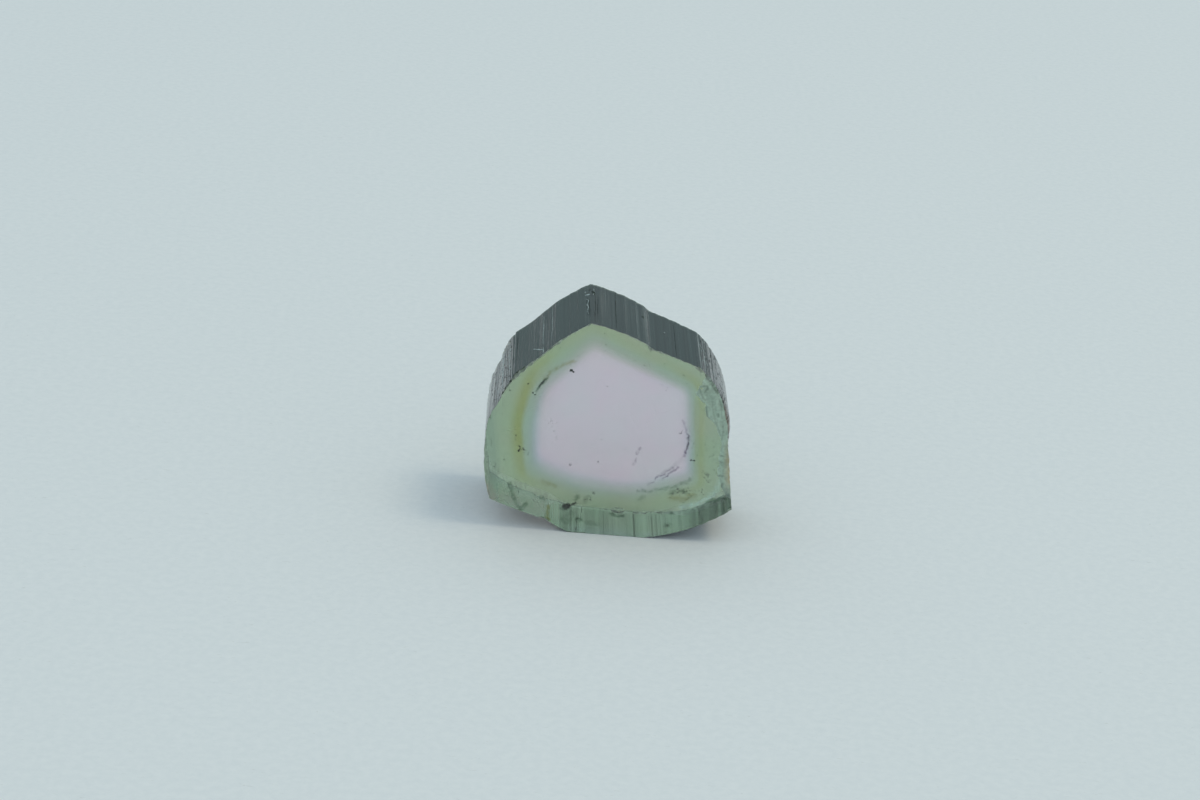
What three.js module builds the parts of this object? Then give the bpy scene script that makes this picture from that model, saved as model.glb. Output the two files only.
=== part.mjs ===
// A thick slice of watermelon tourmaline, standing on a narrow facet of its own prism wall.
// Millimetres. +X is to the right along the polished face, +Y goes into the slice, and +Z is up.
// The origin is under the middle of the slice, on the surface that it stands on.
import * as THREE from "three";
import { mergeVertices } from "three/addons/utils/BufferGeometryUtils.js";

// Driving dimensions
const sliceDepthLeft = 9.3; // the two sawn faces aren't parallel: the slice is thicker on its left
const sliceDepthRight = 7.2;
const restLeftX = -2.7; // ends of the flat facet that the slice stands on
const restRightX = 2.95;
const edgeChamfer = 0.09; // the worn edge between a sawn face and the prism wall
const wallPointSpacing = 0.13; // along the outline

// Lengthwise growth ribs of the prism wall: broad ones whose spacing wanders, with finer ones between.
const ribs = {
  spacing: 0.75,
  height: 0.022,
  wander: 1.3, // how far, in radians, a broad rib strays from even spacing
  wanderRate: 0.23, // turns of that straying per rib
  fineRate: 2.3, // finer ribs per broad rib
  broadShare: 0.65, // of the height
  fadeLength: 0.5, // each wall's ribs die out over this length at its two corners
};

// Corners of the prism, counter-clockwise from the left end of the rest facet.
// Each is named for the wall that runs from it to the next corner: bulge is how far that wall
// swells outward at its middle, and ribs is how strongly it is ribbed.
const corners = [
  { x: restLeftX, z: 0, bulge: 0, ribs: 0 }, // rest facet
  { x: restRightX, z: 0, bulge: 0.44, ribs: 0.8 }, // lower right wall
  { x: 9.34, z: 2.8, bulge: -0.08, ribs: 0.5 }, // right wall
  { x: 8.7, z: 8.95, bulge: 0.56, ribs: 0.7 }, // right cheek
  { x: 5.83, z: 13.94, bulge: 0.04, ribs: 0.8 }, // upper right wall
  { x: 2.15, z: 15.18, bulge: 0, ribs: 0 }, // right step
  { x: 1.74, z: 15.5, bulge: 0.15, ribs: 0.8 }, // roof right of the apex
  { x: -2.42, z: 16.8, bulge: 0.05, ribs: 0.8 }, // roof left of the apex
  { x: -4.85, z: 14.96, bulge: 0, ribs: 0 }, // left step
  { x: -5.97, z: 13.78, bulge: 0.03, ribs: 0.7 }, // upper left wall
  { x: -7.7, z: 12.2, bulge: 0.14, ribs: 0.6 }, // left cheek
  { x: -9.38, z: 8.5, bulge: 0.38, ribs: 0.6 }, // left wall
  { x: -8.78, z: 2.25, bulge: 0.06, ribs: 0.8 }, // lower left wall
  { x: -4.5, z: 0.9, bulge: 0, ribs: 0 }, // heel, upper part
  { x: -3.55, z: 0.36, bulge: 0, ribs: 0 }, // heel, lower part
];

// The prism isn't quite even along its length: its lower walls lie further down at the back.
// Each stretch has the x of its middle, half its width, and how far down its middle lies at the back.
const lowerAtTheBack = [
  { x: -6.2, halfWidth: 3.4, drop: 0.44 },
  { x: 6.7, halfWidth: 3.3, drop: 0.36 },
];
const lowerWallsTop = 4; // only points below this height belong to the lower walls

// Height of the growth ribs at a distance along one wall of the given length.
function ribProfile(distance, length) {
  const toCorner = Math.min(distance, length - distance);
  const fade = Math.min(1, toCorner / ribs.fadeLength);
  const turn = (2 * Math.PI * distance) / ribs.spacing;
  const broad = Math.sin(turn + ribs.wander * Math.sin(turn * ribs.wanderRate));
  const fine = Math.sin(turn * ribs.fineRate);
  return ribs.height * fade * (ribs.broadShare * broad + (1 - ribs.broadShare) * fine);
}

// Points of one wall, from its own corner up to but not including the next.
function wallPoints(corner, next) {
  const start = new THREE.Vector2(corner.x, corner.z);
  const end = new THREE.Vector2(next.x, next.z);
  const along = end.clone().sub(start);
  const length = along.length();
  along.normalize();
  const outward = new THREE.Vector2(along.y, -along.x);
  const straight = corner.bulge === 0 && corner.ribs === 0;
  const steps = straight ? 1 : Math.max(2, Math.round(length / wallPointSpacing));
  const points = [];
  for (let i = 0; i < steps; i++) {
    const t = i / steps;
    const swell = 4 * t * (1 - t) * corner.bulge; // a parabola, highest at the middle of the wall
    const rib = corner.ribs * ribProfile(t * length, length);
    points.push(
      start
        .clone()
        .addScaledVector(along, t * length)
        .addScaledVector(outward, swell + rib),
    );
  }
  return points;
}

// How much lower a point of the outline lies at the back than at the front.
function dropAtTheBack(x, z) {
  if (z > lowerWallsTop) return 0;
  const fade = Math.min(1, lowerWallsTop - z);
  const drops = lowerAtTheBack.map((stretch) => {
    const away = Math.min(1, Math.abs(x - stretch.x) / stretch.halfWidth);
    return stretch.drop * (1 - away * away) ** 2;
  });
  return fade * Math.max(...drops);
}

function outlineShape() {
  const points = corners.flatMap((corner, i) => {
    return wallPoints(corner, corners[(i + 1) % corners.length]);
  });
  return new THREE.Shape(points);
}

// The outline drawn along +Y, with worn edges, then brought to the wedge's own depth at each x.
function sliceGeometry() {
  const shape = outlineShape();
  const xs = shape.getPoints().map((point) => point.x);
  const leftX = Math.min(...xs);
  const rightX = Math.max(...xs);
  const geometry = new THREE.ExtrudeGeometry(shape, {
    depth: sliceDepthLeft - 2 * edgeChamfer,
    steps: 1,
    bevelEnabled: true,
    bevelSegments: 1,
    bevelThickness: edgeChamfer,
    bevelSize: edgeChamfer,
    bevelOffset: -edgeChamfer,
  });
  geometry.translate(0, 0, -sliceDepthLeft + edgeChamfer);
  geometry.rotateX(Math.PI / 2);
  const position = geometry.getAttribute("position");
  for (let i = 0; i < position.count; i++) {
    const across = (position.getX(i) - leftX) / (rightX - leftX);
    const depthHere = THREE.MathUtils.lerp(sliceDepthLeft, sliceDepthRight, across);
    const depthShare = position.getY(i) / sliceDepthLeft;
    const drop = depthShare * dropAtTheBack(position.getX(i), position.getZ(i));
    position.setY(i, depthShare * depthHere - sliceDepthLeft / 2);
    position.setZ(i, position.getZ(i) - drop);
  }
  geometry.deleteAttribute("normal");
  geometry.deleteAttribute("uv");
  const slice = mergeVertices(geometry);
  slice.computeBoundingBox();
  const middle = slice.boundingBox.getCenter(new THREE.Vector3());
  slice.translate(-middle.x, -middle.y, -slice.boundingBox.min.z);
  return slice;
}

function tourmalineSlice() {
  const material = new THREE.MeshStandardMaterial({
    color: 0x859884,
    roughness: 0.12,
    metalness: 0,
    flatShading: true,
  });
  const mesh = new THREE.Mesh(sliceGeometry(), material);
  mesh.name = "tourmaline_slice";
  return mesh;
}

const group = new THREE.Group();
group.add(tourmalineSlice());

export default group;
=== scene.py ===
import math

import bmesh
import bpy
import numpy as np
from mathutils import Matrix, Vector
from mathutils.geometry import delaunay_2d_cdt
from mathutils.kdtree import KDTree


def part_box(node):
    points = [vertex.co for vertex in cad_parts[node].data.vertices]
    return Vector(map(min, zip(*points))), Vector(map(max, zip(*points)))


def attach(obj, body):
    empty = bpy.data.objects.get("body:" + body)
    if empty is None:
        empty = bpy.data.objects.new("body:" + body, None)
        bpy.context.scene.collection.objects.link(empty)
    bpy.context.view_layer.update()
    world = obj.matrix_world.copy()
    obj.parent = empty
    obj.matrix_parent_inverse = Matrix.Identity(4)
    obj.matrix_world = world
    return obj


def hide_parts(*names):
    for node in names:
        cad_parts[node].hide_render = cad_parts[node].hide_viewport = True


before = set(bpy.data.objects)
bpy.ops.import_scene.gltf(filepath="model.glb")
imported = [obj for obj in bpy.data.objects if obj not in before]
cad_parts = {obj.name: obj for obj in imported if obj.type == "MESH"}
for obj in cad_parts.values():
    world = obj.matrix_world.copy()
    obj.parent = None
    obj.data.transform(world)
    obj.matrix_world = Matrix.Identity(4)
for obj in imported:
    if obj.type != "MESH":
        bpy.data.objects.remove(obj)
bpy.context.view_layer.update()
print("frame loaded")

mm = 0.001  # shapes below are worked out in millimetres and scaled to metres at the end
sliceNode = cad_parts["tourmaline_slice"]
low, high = (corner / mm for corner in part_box("tourmaline_slice"))


def linear(red, green, blue):
    # a screen colour (0 to 1) as the linear values that the shaders take
    def channel(value):
        return value / 12.92 if value <= 0.04045 else ((value + 0.055) / 1.055) ** 2.4

    return (channel(red), channel(green), channel(blue), 1.0)


# camera, light and floor
cameraSetup = {
    "lens": 86.85,
    "distance": 212.7,
    "pitch": 22.0,  # degrees below level
    "turn": 2.63,  # degrees that it looks towards +X of straight in
    "roll": 5.4,
    "aim": (-1.162, 10.84),  # x and z on the polished face
}


def addCamera(setup):
    pitch, turn, roll = (math.radians(setup[key]) for key in ("pitch", "turn", "roll"))
    forward = Vector((
        math.sin(turn) * math.cos(pitch),
        math.cos(turn) * math.cos(pitch),
        -math.sin(pitch),
    ))
    level = Vector((math.cos(turn), -math.sin(turn), 0.0))
    above = level.cross(forward)
    right = level * math.cos(roll) + above * math.sin(roll)
    up = above * math.cos(roll) - level * math.sin(roll)
    data = bpy.data.cameras.new("camera")
    data.lens = setup["lens"]
    data.sensor_width = 36.0
    data.clip_start = 0.005
    data.clip_end = 20.0
    camera = bpy.data.objects.new("camera", data)
    bpy.context.scene.collection.objects.link(camera)
    aim = Vector((setup["aim"][0], low.y, setup["aim"][1]))
    turned = Matrix((right, up, -forward)).transposed().to_4x4()
    camera.matrix_world = Matrix.Translation((aim - forward * setup["distance"]) * mm) @ turned
    bpy.context.scene.camera = camera


addCamera(cameraSetup)


class NodeSheet:
    # short ways to add nodes to a material, a group or the world and join them up
    def __init__(self, tree):
        self.tree = tree

    def add(self, kind, inputs=None, **settings):
        node = self.tree.nodes.new(kind)
        for key, value in settings.items():
            setattr(node, key, value)
        for key, value in (inputs or {}).items():
            self.put(node.inputs[key], value)
        return node

    def put(self, socket, value):
        if isinstance(value, bpy.types.NodeSocket):
            self.tree.links.new(value, socket)
        else:
            socket.default_value = value

    def math(self, operation, first, second=0.0, third=0.0):
        node = self.add("ShaderNodeMath", {0: first, 1: second, 2: third}, operation=operation)
        return node.outputs[0]

    def vector(self, operation, first, second):
        node = self.add("ShaderNodeVectorMath", {0: first, 1: second}, operation=operation)
        return node.outputs["Value" if operation in ("DOT_PRODUCT", "DISTANCE") else "Vector"]

    def smooth(self, value, start, end, lowest=0.0, highest=1.0):
        limits = {"From Min": start, "From Max": end, "To Min": lowest, "To Max": highest}
        node = self.add("ShaderNodeMapRange", {"Value": value, **limits}, interpolation_type="SMOOTHSTEP")
        return node.outputs["Result"]

    def mix(self, factor, first, second, blend="MIX"):
        node = self.add("ShaderNodeMix", data_type="RGBA", blend_type=blend)
        # the colour sockets of a Mix node come after its number and vector ones
        for place, value in ((0, factor), (6, first), (7, second)):
            self.put(node.inputs[place], value)
        return node.outputs[2]

    def noise(self, vector, scale, detail=2.0, roughness=0.5, distortion=0.0):
        values = {"Scale": scale, "Detail": detail, "Roughness": roughness, "Distortion": distortion}
        return self.add("ShaderNodeTexNoise", {"Vector": vector, **values}).outputs["Fac"]

    def band(self, value, start, full, fading, end):
        # 1 between full and fading, and 0 before start and after end
        return self.math("MULTIPLY", self.smooth(value, start, full), self.smooth(value, end, fading))

    def grey(self, value):
        return self.add("ShaderNodeCombineXYZ", {0: value, 1: value, 2: value}).outputs[0]

    def bump(self, height, strength, distance):
        # the distance is in mm
        values = {"Strength": strength, "Distance": distance * mm, "Height": height}
        return self.add("ShaderNodeBump", values).outputs["Normal"]

    def inMillimetres(self):
        place = self.add("ShaderNodeTexCoord").outputs["Object"]
        return self.vector("MULTIPLY", place, (1000.0, 1000.0, 1000.0))


def newMaterial(name):
    material = bpy.data.materials.new(name)
    material.use_nodes = True
    return material, NodeSheet(material.node_tree), material.node_tree.nodes["Principled BSDF"]


def newGroup(name, inputs, outputs):
    # a shader node group; inputs is a dictionary of name and first value, outputs of name and kind
    group = bpy.data.node_groups.new(name, "ShaderNodeTree")
    for key, value in inputs.items():
        kind = "NodeSocketColor" if isinstance(value, tuple) else "NodeSocketFloat"
        group.interface.new_socket(key, in_out="INPUT", socket_type=kind).default_value = value
    for key, kind in outputs.items():
        group.interface.new_socket(key, in_out="OUTPUT", socket_type="NodeSocket" + kind)
    sheet = NodeSheet(group)
    return group, sheet, sheet.add("NodeGroupInput").outputs, sheet.add("NodeGroupOutput").inputs


lightSetup = {
    "skyHigh": (0.585, 0.695, 0.750, 1.0),
    "skyLow": (0.305, 0.425, 0.435, 1.0),  # low down behind the crystal
    "keyColour": (1.0, 0.86, 0.58),
    "keyPower": 3.7,
    "keySize": 530.0,  # across, in mm
    "keyDistance": 1500.0,
    "keyHeight": 61.0,  # degrees above level
    "keyTurn": 84.0,  # degrees round from the front: 90 is the +X side
}


def addLights(setup):
    world = bpy.data.worlds.new("studio")
    bpy.context.scene.world = world
    world.use_nodes = True
    sheet = NodeSheet(world.node_tree)
    direction = sheet.add("ShaderNodeTexCoord").outputs["Generated"]
    openness = sheet.vector("DOT_PRODUCT", direction, (0.0, -0.35, 1.0))
    sky = sheet.mix(sheet.smooth(openness, -0.25, 0.60), setup["skyLow"], setup["skyHigh"])
    sheet.put(world.node_tree.nodes["Background"].inputs["Color"], sky)
    data = bpy.data.lights.new("keySoftbox", "AREA")
    data.shape = "DISK"
    data.size = setup["keySize"] * mm
    data.energy = setup["keyPower"]
    data.color = setup["keyColour"]
    key = bpy.data.objects.new("keySoftbox", data)
    bpy.context.scene.collection.objects.link(key)
    height, turn = math.radians(setup["keyHeight"]), math.radians(setup["keyTurn"])
    towards = Vector((
        math.sin(turn) * math.cos(height),
        -math.cos(turn) * math.cos(height),
        math.sin(height),
    ))
    key.location = towards * setup["keyDistance"] * mm
    key.rotation_euler = towards.to_track_quat("Z", "Y").to_euler()


addLights(lightSetup)
bpy.context.scene.view_settings.view_transform = "Standard"

floorLook = {
    "size": 3000.0,
    "colour": (0.82, 0.835, 0.845, 1.0),
    "shade": (0.78, 0.80, 0.815, 1.0),
    "fibre": (0.70, 0.71, 0.71, 1.0),
    "roughness": 0.9,
    "shine": 0.1,
    "bump": (0.25, 0.05),  # strength, and height in mm
    "middle": (60.0, 0.0, 0.0),
    # it gets darker between these distances from its middle, down to this share
    "fade": (205.0, 330.0, 0.28),
}


def addFloor(look):
    half = look["size"] / 2 * mm
    mesh = bpy.data.meshes.new("floor")
    corners = [(-half, -half, 0), (half, -half, 0), (half, half, 0), (-half, half, 0)]
    mesh.from_pydata(corners, [], [(0, 1, 2, 3)])
    floor = bpy.data.objects.new("floor", mesh)
    bpy.context.scene.collection.objects.link(floor)
    material, sheet, shader = newMaterial("paper")
    place = sheet.inMillimetres()
    grain = sheet.noise(place, 1.6, 5.0, 0.65)
    colour = sheet.mix(sheet.smooth(grain, 0.30, 0.70), look["shade"], look["colour"])
    fibres = sheet.noise(sheet.vector("MULTIPLY", place, (1.0, 4.0, 1.0)), 0.9, 2.0, 0.5, 2.5)
    colour = sheet.mix(sheet.smooth(fibres, 0.70, 0.76), colour, look["fibre"])
    away = sheet.vector("DISTANCE", place, look["middle"])
    fadeStart, fadeEnd, darkest = look["fade"]
    shade = sheet.grey(sheet.smooth(away, fadeStart, fadeEnd, 1.0, darkest))
    sheet.put(shader.inputs["Base Color"], sheet.mix(1.0, colour, shade, "MULTIPLY"))
    shader.inputs["Roughness"].default_value = look["roughness"]
    shader.inputs["Specular IOR Level"].default_value = look["shine"]
    sheet.put(shader.inputs["Normal"], sheet.bump(grain, *look["bump"]))
    mesh.materials.append(material)


addFloor(floorLook)
print("camera, light and floor made")


# the colour zones of the crystal
zoneShape = {
    # flat sides of the growth line where pink gives way to green: outward x and z, and distance in mm
    "sides": [
        (-0.984, -0.177, 5.61),
        (-0.980, 0.196, 8.36),
        (-0.711, 0.703, 12.32),
        (0.407, 0.913, 13.15),
        (0.995, 0.100, 7.25),
        (0.390, -0.920, -0.87),
        (0.000, -1.000, -2.02),
        (-0.320, -0.947, -1.22),
    ],
    "cornerRadius": 0.8,
    "waver": 0.25,
    "waverScale": 0.45,
    "narrowing": 0.057,  # the zones get this much narrower for each mm to the right
    "keptAt": -6.0,  # the x where they keep their width
    "depthShift": 0.17,  # mm between the growth lines that each face adds up over its half of the depth
    "lean": 0.10,  # how far the zones sink for each mm towards the back
}

zoneRamp = {
    # distance outward from the growth line in mm, and the colour there
    "stops": [
        (-2.6, (0.790, 0.705, 0.760)),
        (-1.75, (0.750, 0.670, 0.728)),
        (-1.45, (0.665, 0.640, 0.710)),
        (-1.15, (0.500, 0.570, 0.585)),
        (-0.90, (0.420, 0.525, 0.475)),
        (-0.55, (0.398, 0.518, 0.405)),
        (0.00, (0.398, 0.505, 0.335)),
        (0.60, (0.405, 0.510, 0.322)),
        (1.30, (0.400, 0.512, 0.345)),
        (2.60, (0.392, 0.510, 0.355)),
    ],
    "olive": (0.90, 0.82, 0.46, 1.0),  # laid over the growth line at the left and right sides
    "oliveWidth": (-0.40, -0.06, 0.06, 0.80),  # where it starts, is full, starts to fade and ends
    "oliveStrength": (0.95, 0.55),  # left and right
    "oliveFrom": (3.8, 5.6),
    "oliveHeight": (3.0, 5.0, 11.0, 14.5),
    # the outermost skin on the left, cut off along a straight line: outward x and z, distance and tint
    "skin": (-0.990, -0.138, 7.55, (0.86, 0.90, 0.95, 1.0)),
    "pink": (1.02, 0.95, 1.0, 1.0),
    "grey": (0.97, 1.0, 1.0, 1.0),
    "topTint": (12.5, 14.5, (1.03, 0.99, 0.95, 1.0)),  # heights that it starts and is full at
    # the change from pink to green is less blue high up: heights that this starts and is full at,
    # distances from the growth line and tint
    "ringTint": (5.5, 11.0, (-2.0, -1.4, -0.8, -0.4), (0.975, 0.955, 0.87, 1.0)),
    # painted light: the zones are made lighter low down, for the shade that the crystal casts on the floor
    # just behind it, seen through the face; from this height, fully at this one, and how much
    "paintedLowLight": (5.5, 2.0, 1.15),
    "lineScale": 3.2,  # how close the fine cloudy lines along the growth line are
}

# soft smudges in the colour zones, where cracks and clouds of fine grains lie; tints multiply the zones
smudgeTints = {
    "green": (0.20, 0.29, 0.22, 1.0),
    "brown": (0.54, 0.45, 0.20, 1.0),
    "purple": (0.24, 0.19, 0.28, 1.0),
    "dark": (0.03, 0.05, 0.035, 1.0),
    "pale": (1.25, 1.48, 1.95, 1.0),
    "warm": (1.25, 0.74, 0.90, 1.0),
}

# tint, half width, strength, and x and z along each
smudges = [
    ("warm", 0.55, 0.9, [(-9.15, 3.1), (-9.00, 1.0)]),
    ("warm", 0.60, 0.8, [(-8.90, 3.2), (-8.40, 2.3)]),
    ("warm", 1.30, 0.5, [(-7.80, 2.4), (-5.20, 1.6)]),
    # these four green smudges are the dark line and mottles at the bottom right corner, and also painted
    # shade that darkens that corner
    ("green", 0.22, 1.50, [(7.50, 3.30), (7.86, 3.50), (8.60, 3.68), (9.26, 3.76)]),
    ("green", 0.32, 0.80, [(8.18, 3.30), (8.33, 2.65)]),
    ("green", 0.22, 1.20, [(8.75, 3.30), (8.83, 2.61)]),
    ("green", 0.26, 0.90, [(9.14, 3.40), (9.25, 2.90)]),
    ("pale", 0.34, 0.8, [(5.60, 2.75), (6.60, 3.00), (7.50, 3.55), (8.10, 4.30), (8.30, 5.20)]),
    ("green", 0.24, 1.30, [(-7.30, 3.60), (-6.94, 2.53), (-6.51, 1.83), (-6.23, 1.56), (-5.95, 2.05)]),
    ("brown", 0.26, 0.85, [(-3.30, 13.74), (-3.60, 13.62), (-4.42, 13.20), (-5.05, 12.65), (-5.29, 12.15)]),
    ("green", 0.15, 1.50, [(-5.20, 12.22), (-5.60, 11.64), (-5.90, 11.20)]),
    ("green", 0.24, 0.72, [
        (2.30, 3.80), (3.20, 3.86), (3.91, 4.05), (4.79, 4.30), (5.60, 4.75), (6.07, 5.05),
    ]),
    ("green", 0.34, 0.95, [(4.75, 3.85), (5.25, 4.05), (5.80, 4.00)]),
    ("brown", 0.40, 0.90, [(4.90, 3.45), (5.60, 3.40), (6.40, 3.75)]),
    ("green", 0.22, 1.14, [(-4.90, 2.75), (-4.65, 2.55)]),
    ("brown", 0.22, 1.44, [(-4.28, 2.00), (-4.24, 1.55), (-4.30, 1.00)]),
    ("brown", 0.18, 1.62, [(-4.65, 0.95), (-4.10, 0.92)]),
    ("brown", 0.30, 0.72, [(-4.80, 3.95), (-4.40, 3.85), (-3.90, 3.70)]),
    ("green", 0.30, 0.57, [(-1.60, 2.60), (-1.40, 3.00)]),
    ("green", 0.22, 1.14, [(-2.30, 2.70), (-2.12, 3.00)]),
    ("dark", 0.16, 0.91, [(-2.70, 2.12), (-2.22, 2.44)]),
    ("dark", 0.34, 0.91, [(-3.15, 1.95), (-2.70, 2.05)]),
    ("green", 0.20, 1.33, [(0.40, 1.72), (0.95, 1.66), (1.40, 1.66)]),
    ("green", 0.26, 0.66, [(2.45, 3.15), (2.80, 3.35)]),
    ("green", 0.30, 1.33, [(-2.00, 1.12), (-1.82, 1.10)]),
    ("green", 0.40, 0.76, [(-3.20, 1.10), (-2.70, 0.80), (-2.50, 1.60)]),
    ("green", 0.30, 0.66, [(-1.30, 0.90), (-0.50, 0.85)]),
    ("green", 0.30, 0.95, [(4.62, 1.15), (4.90, 1.18)]),
    ("green", 0.20, 1.14, [(4.85, 2.18), (5.10, 2.16)]),
    ("purple", 0.20, 0.68, [(2.15, 7.25), (2.00, 7.00), (1.92, 6.80)]),
    ("purple", 0.18, 0.61, [(1.90, 6.35), (1.80, 5.95)]),
    ("purple", 0.14, 0.61, [(5.10, 9.80), (5.42, 8.90), (5.58, 8.30)]),
    ("purple", 0.18, 1.01, [(5.58, 8.60), (5.66, 8.10), (5.60, 7.50), (5.45, 6.90)]),
    ("purple", 0.16, 1.00, [(5.12, 6.00), (4.60, 5.50), (4.06, 5.00)]),
    ("purple", 0.13, 0.85, [(4.69, 5.90), (4.09, 5.36), (3.47, 4.87)]),
    ("purple", 0.13, 0.60, [(3.36, 4.63), (2.96, 4.34)]),
    ("purple", 0.24, 0.34, [(5.30, 6.60), (4.70, 5.95), (3.60, 5.00)]),
]


def addSmudges(sheet, inMm, colour, share):
    # each smudge fades with the distance from its path; uneven noise frays them
    values = {"Vector": inMm, "Scale": 2.2, "Detail": 4.0, "Roughness": 0.7}
    fray = sheet.add("ShaderNodeTexNoise", values)
    shifted = sheet.vector("SUBTRACT", fray.outputs["Color"], (0.5, 0.5, 0.5))
    place = sheet.vector("ADD", inMm, sheet.vector("MULTIPLY", shifted, (0.5, 0.5, 0.5)))
    place = sheet.vector("MULTIPLY", place, (1.0, 0.0, 1.0))
    patches = sheet.smooth(sheet.noise(inMm, 4.5, 4.0, 0.65), 0.35, 0.60, 0.35, 1.0)
    patches = sheet.math("MULTIPLY", patches, share)
    for tint, halfWidth, strength, path in smudges:
        nearest = None
        for (x0, z0), (x1, z1) in zip(path, path[1:]):
            reach = (x1 - x0, 0.0, z1 - z0)
            across = sheet.vector("SUBTRACT", place, (x0, 0.0, z0))
            squared = reach[0] ** 2 + reach[2] ** 2
            along = sheet.math("DIVIDE", sheet.vector("DOT_PRODUCT", across, reach), squared)
            along = sheet.add("ShaderNodeClamp", {"Value": along}).outputs[0]
            beside = sheet.add("ShaderNodeVectorMath", {0: reach, "Scale": along}, operation="SCALE")
            away = sheet.vector("DISTANCE", across, beside.outputs[0])
            nearest = away if nearest is None else sheet.math("MINIMUM", nearest, away)
        closeness = sheet.smooth(nearest, halfWidth, halfWidth * 0.1, 0.0, strength)
        here = sheet.math("MULTIPLY", closeness, patches)
        colour = sheet.mix(here, colour, smudgeTints[tint], "MULTIPLY")
    return colour


def growthAt(sheet, spot, shape):
    # distance outward from the growth line, which has flat sides and rounded corners
    growth = None
    for outX, outZ, distance in shape["sides"]:
        along = sheet.vector("DOT_PRODUCT", spot, (outX, 0.0, outZ))
        beyond = sheet.math("SUBTRACT", along, distance)
        if growth is None:
            growth = beyond
        else:
            growth = sheet.math("SMOOTH_MAX", growth, beyond, shape["cornerRadius"])
    return growth


def rampColour(sheet, growth, stops):
    # the colour at this distance from the growth line
    start, end = stops[0][0], stops[-1][0]
    place = sheet.math("DIVIDE", sheet.math("SUBTRACT", growth, start), end - start)
    node = sheet.add("ShaderNodeValToRGB", {"Fac": place})
    points = node.color_ramp.elements
    for index, (distance, tint) in enumerate(stops):
        share = (distance - start) / (end - start)
        point = points[index] if index < 2 else points.new(share)
        point.position = share
        point.color = (*tint, 1.0)
    return node.outputs["Color"]


def makeZoneGroup(shape, ramp):
    group, sheet, given, result = newGroup(
        "colourZones",
        {"Depth Direction": -1.0, "Cloud": 0.05},
        {"Colour": "Color"},
    )
    inMm = sheet.inMillimetres()
    waver = sheet.noise(inMm, shape["waverScale"], 2.0)
    waver = sheet.math("MULTIPLY_ADD", waver, shape["waver"], -shape["waver"] / 2)
    sideways = sheet.vector("DOT_PRODUCT", inMm, (1.0, 0.0, 0.0))
    sunk = sheet.vector("DOT_PRODUCT", inMm, (0.0, shape["lean"], 0.0))
    narrowing = shape["narrowing"]
    stretch = sheet.math("MULTIPLY_ADD", sideways, narrowing, 1.0 - shape["keptAt"] * narrowing)
    apart = sheet.smooth(sheet.math("ABSOLUTE", sideways), *ramp["oliveFrom"])
    upward = sheet.vector("DOT_PRODUCT", inMm, (0.0, 0.0, 1.0))
    bottom, brightest, fainter, top = ramp["oliveHeight"]
    apart = sheet.math("MULTIPLY", apart, sheet.smooth(upward, bottom, brightest))
    apart = sheet.math("MULTIPLY", apart, sheet.smooth(upward, top, fainter))
    leftToRight = sheet.smooth(sideways, -1.0, 1.0, *ramp["oliveStrength"])
    strength = sheet.math("MULTIPLY", apart, leftToRight)
    # three growth lines, one behind the other, give the soft edge of zones that run through the depth
    colour = None
    for step in range(3):
        behind = (step + 0.5) * shape["depthShift"]
        shift = sheet.math("MULTIPLY_ADD", given["Depth Direction"], behind, sunk)
        raised = sheet.add("ShaderNodeCombineXYZ", {"Z": shift}).outputs[0]
        growth = growthAt(sheet, sheet.vector("ADD", inMm, raised), shape)
        growth = sheet.math("MULTIPLY", sheet.math("ADD", growth, waver), stretch)
        plain = rampColour(sheet, growth, ramp["stops"])
        onLine = sheet.band(growth, *ramp["oliveWidth"])
        olive = sheet.math("MULTIPLY", onLine, strength)
        here = sheet.mix(olive, plain, ramp["olive"], "MULTIPLY")
        colour = here if colour is None else sheet.mix(1.0 / (step + 1), colour, here)
    blush = sheet.smooth(sheet.noise(inMm, 0.32, 3.0), 0.35, 0.65)
    blush = sheet.mix(blush, ramp["grey"], ramp["pink"])
    colour = sheet.mix(1.0, colour, blush, "MULTIPLY")
    skinX, skinZ, skinDistance, skinTint = ramp["skin"]
    beyond = sheet.vector("DOT_PRODUCT", inMm, (skinX, 0.0, skinZ))
    beyond = sheet.math("SUBTRACT", beyond, skinDistance)
    colour = sheet.mix(sheet.smooth(beyond, -0.02, 0.06), colour, skinTint, "MULTIPLY")
    tintStart, tintFull, topTint = ramp["topTint"]
    colour = sheet.mix(sheet.smooth(upward, tintStart, tintFull), colour, topTint, "MULTIPLY")
    ringStart, ringFull, ringWidth, ringTint = ramp["ringTint"]
    onRing = sheet.band(growth, *ringWidth)
    onRing = sheet.math("MULTIPLY", onRing, sheet.smooth(upward, ringStart, ringFull))
    colour = sheet.mix(onRing, colour, ringTint, "MULTIPLY")
    # painted light: the colours are brightened low down, for the shaded floor behind the crystal seen
    # through it
    liftStart, liftFull, paintedLowLight = ramp["paintedLowLight"]
    paintedLowLightFactor = sheet.smooth(upward, liftStart, liftFull, 1.0, paintedLowLight)
    lines = sheet.math("MULTIPLY", growth, ramp["lineScale"])
    lines = sheet.add("ShaderNodeCombineXYZ", {"X": lines}).outputs[0]
    cloud = sheet.math("ADD", sheet.noise(lines, 1.0, 3.0), sheet.noise(inMm, 1.4, 4.0))
    shade = sheet.math("MULTIPLY_ADD", sheet.math("SUBTRACT", 1.0, cloud), given["Cloud"], 1.0)
    shade = sheet.grey(sheet.math("MULTIPLY", shade, paintedLowLightFactor))
    colour = sheet.mix(1.0, colour, shade, "MULTIPLY")
    # the smudges lie close behind the front, so the back face leaves them out
    atFront = sheet.smooth(given["Depth Direction"], 0.0, -1.0)
    sheet.put(result["Colour"], addSmudges(sheet, inMm, colour, atFront))
    return group


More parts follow.
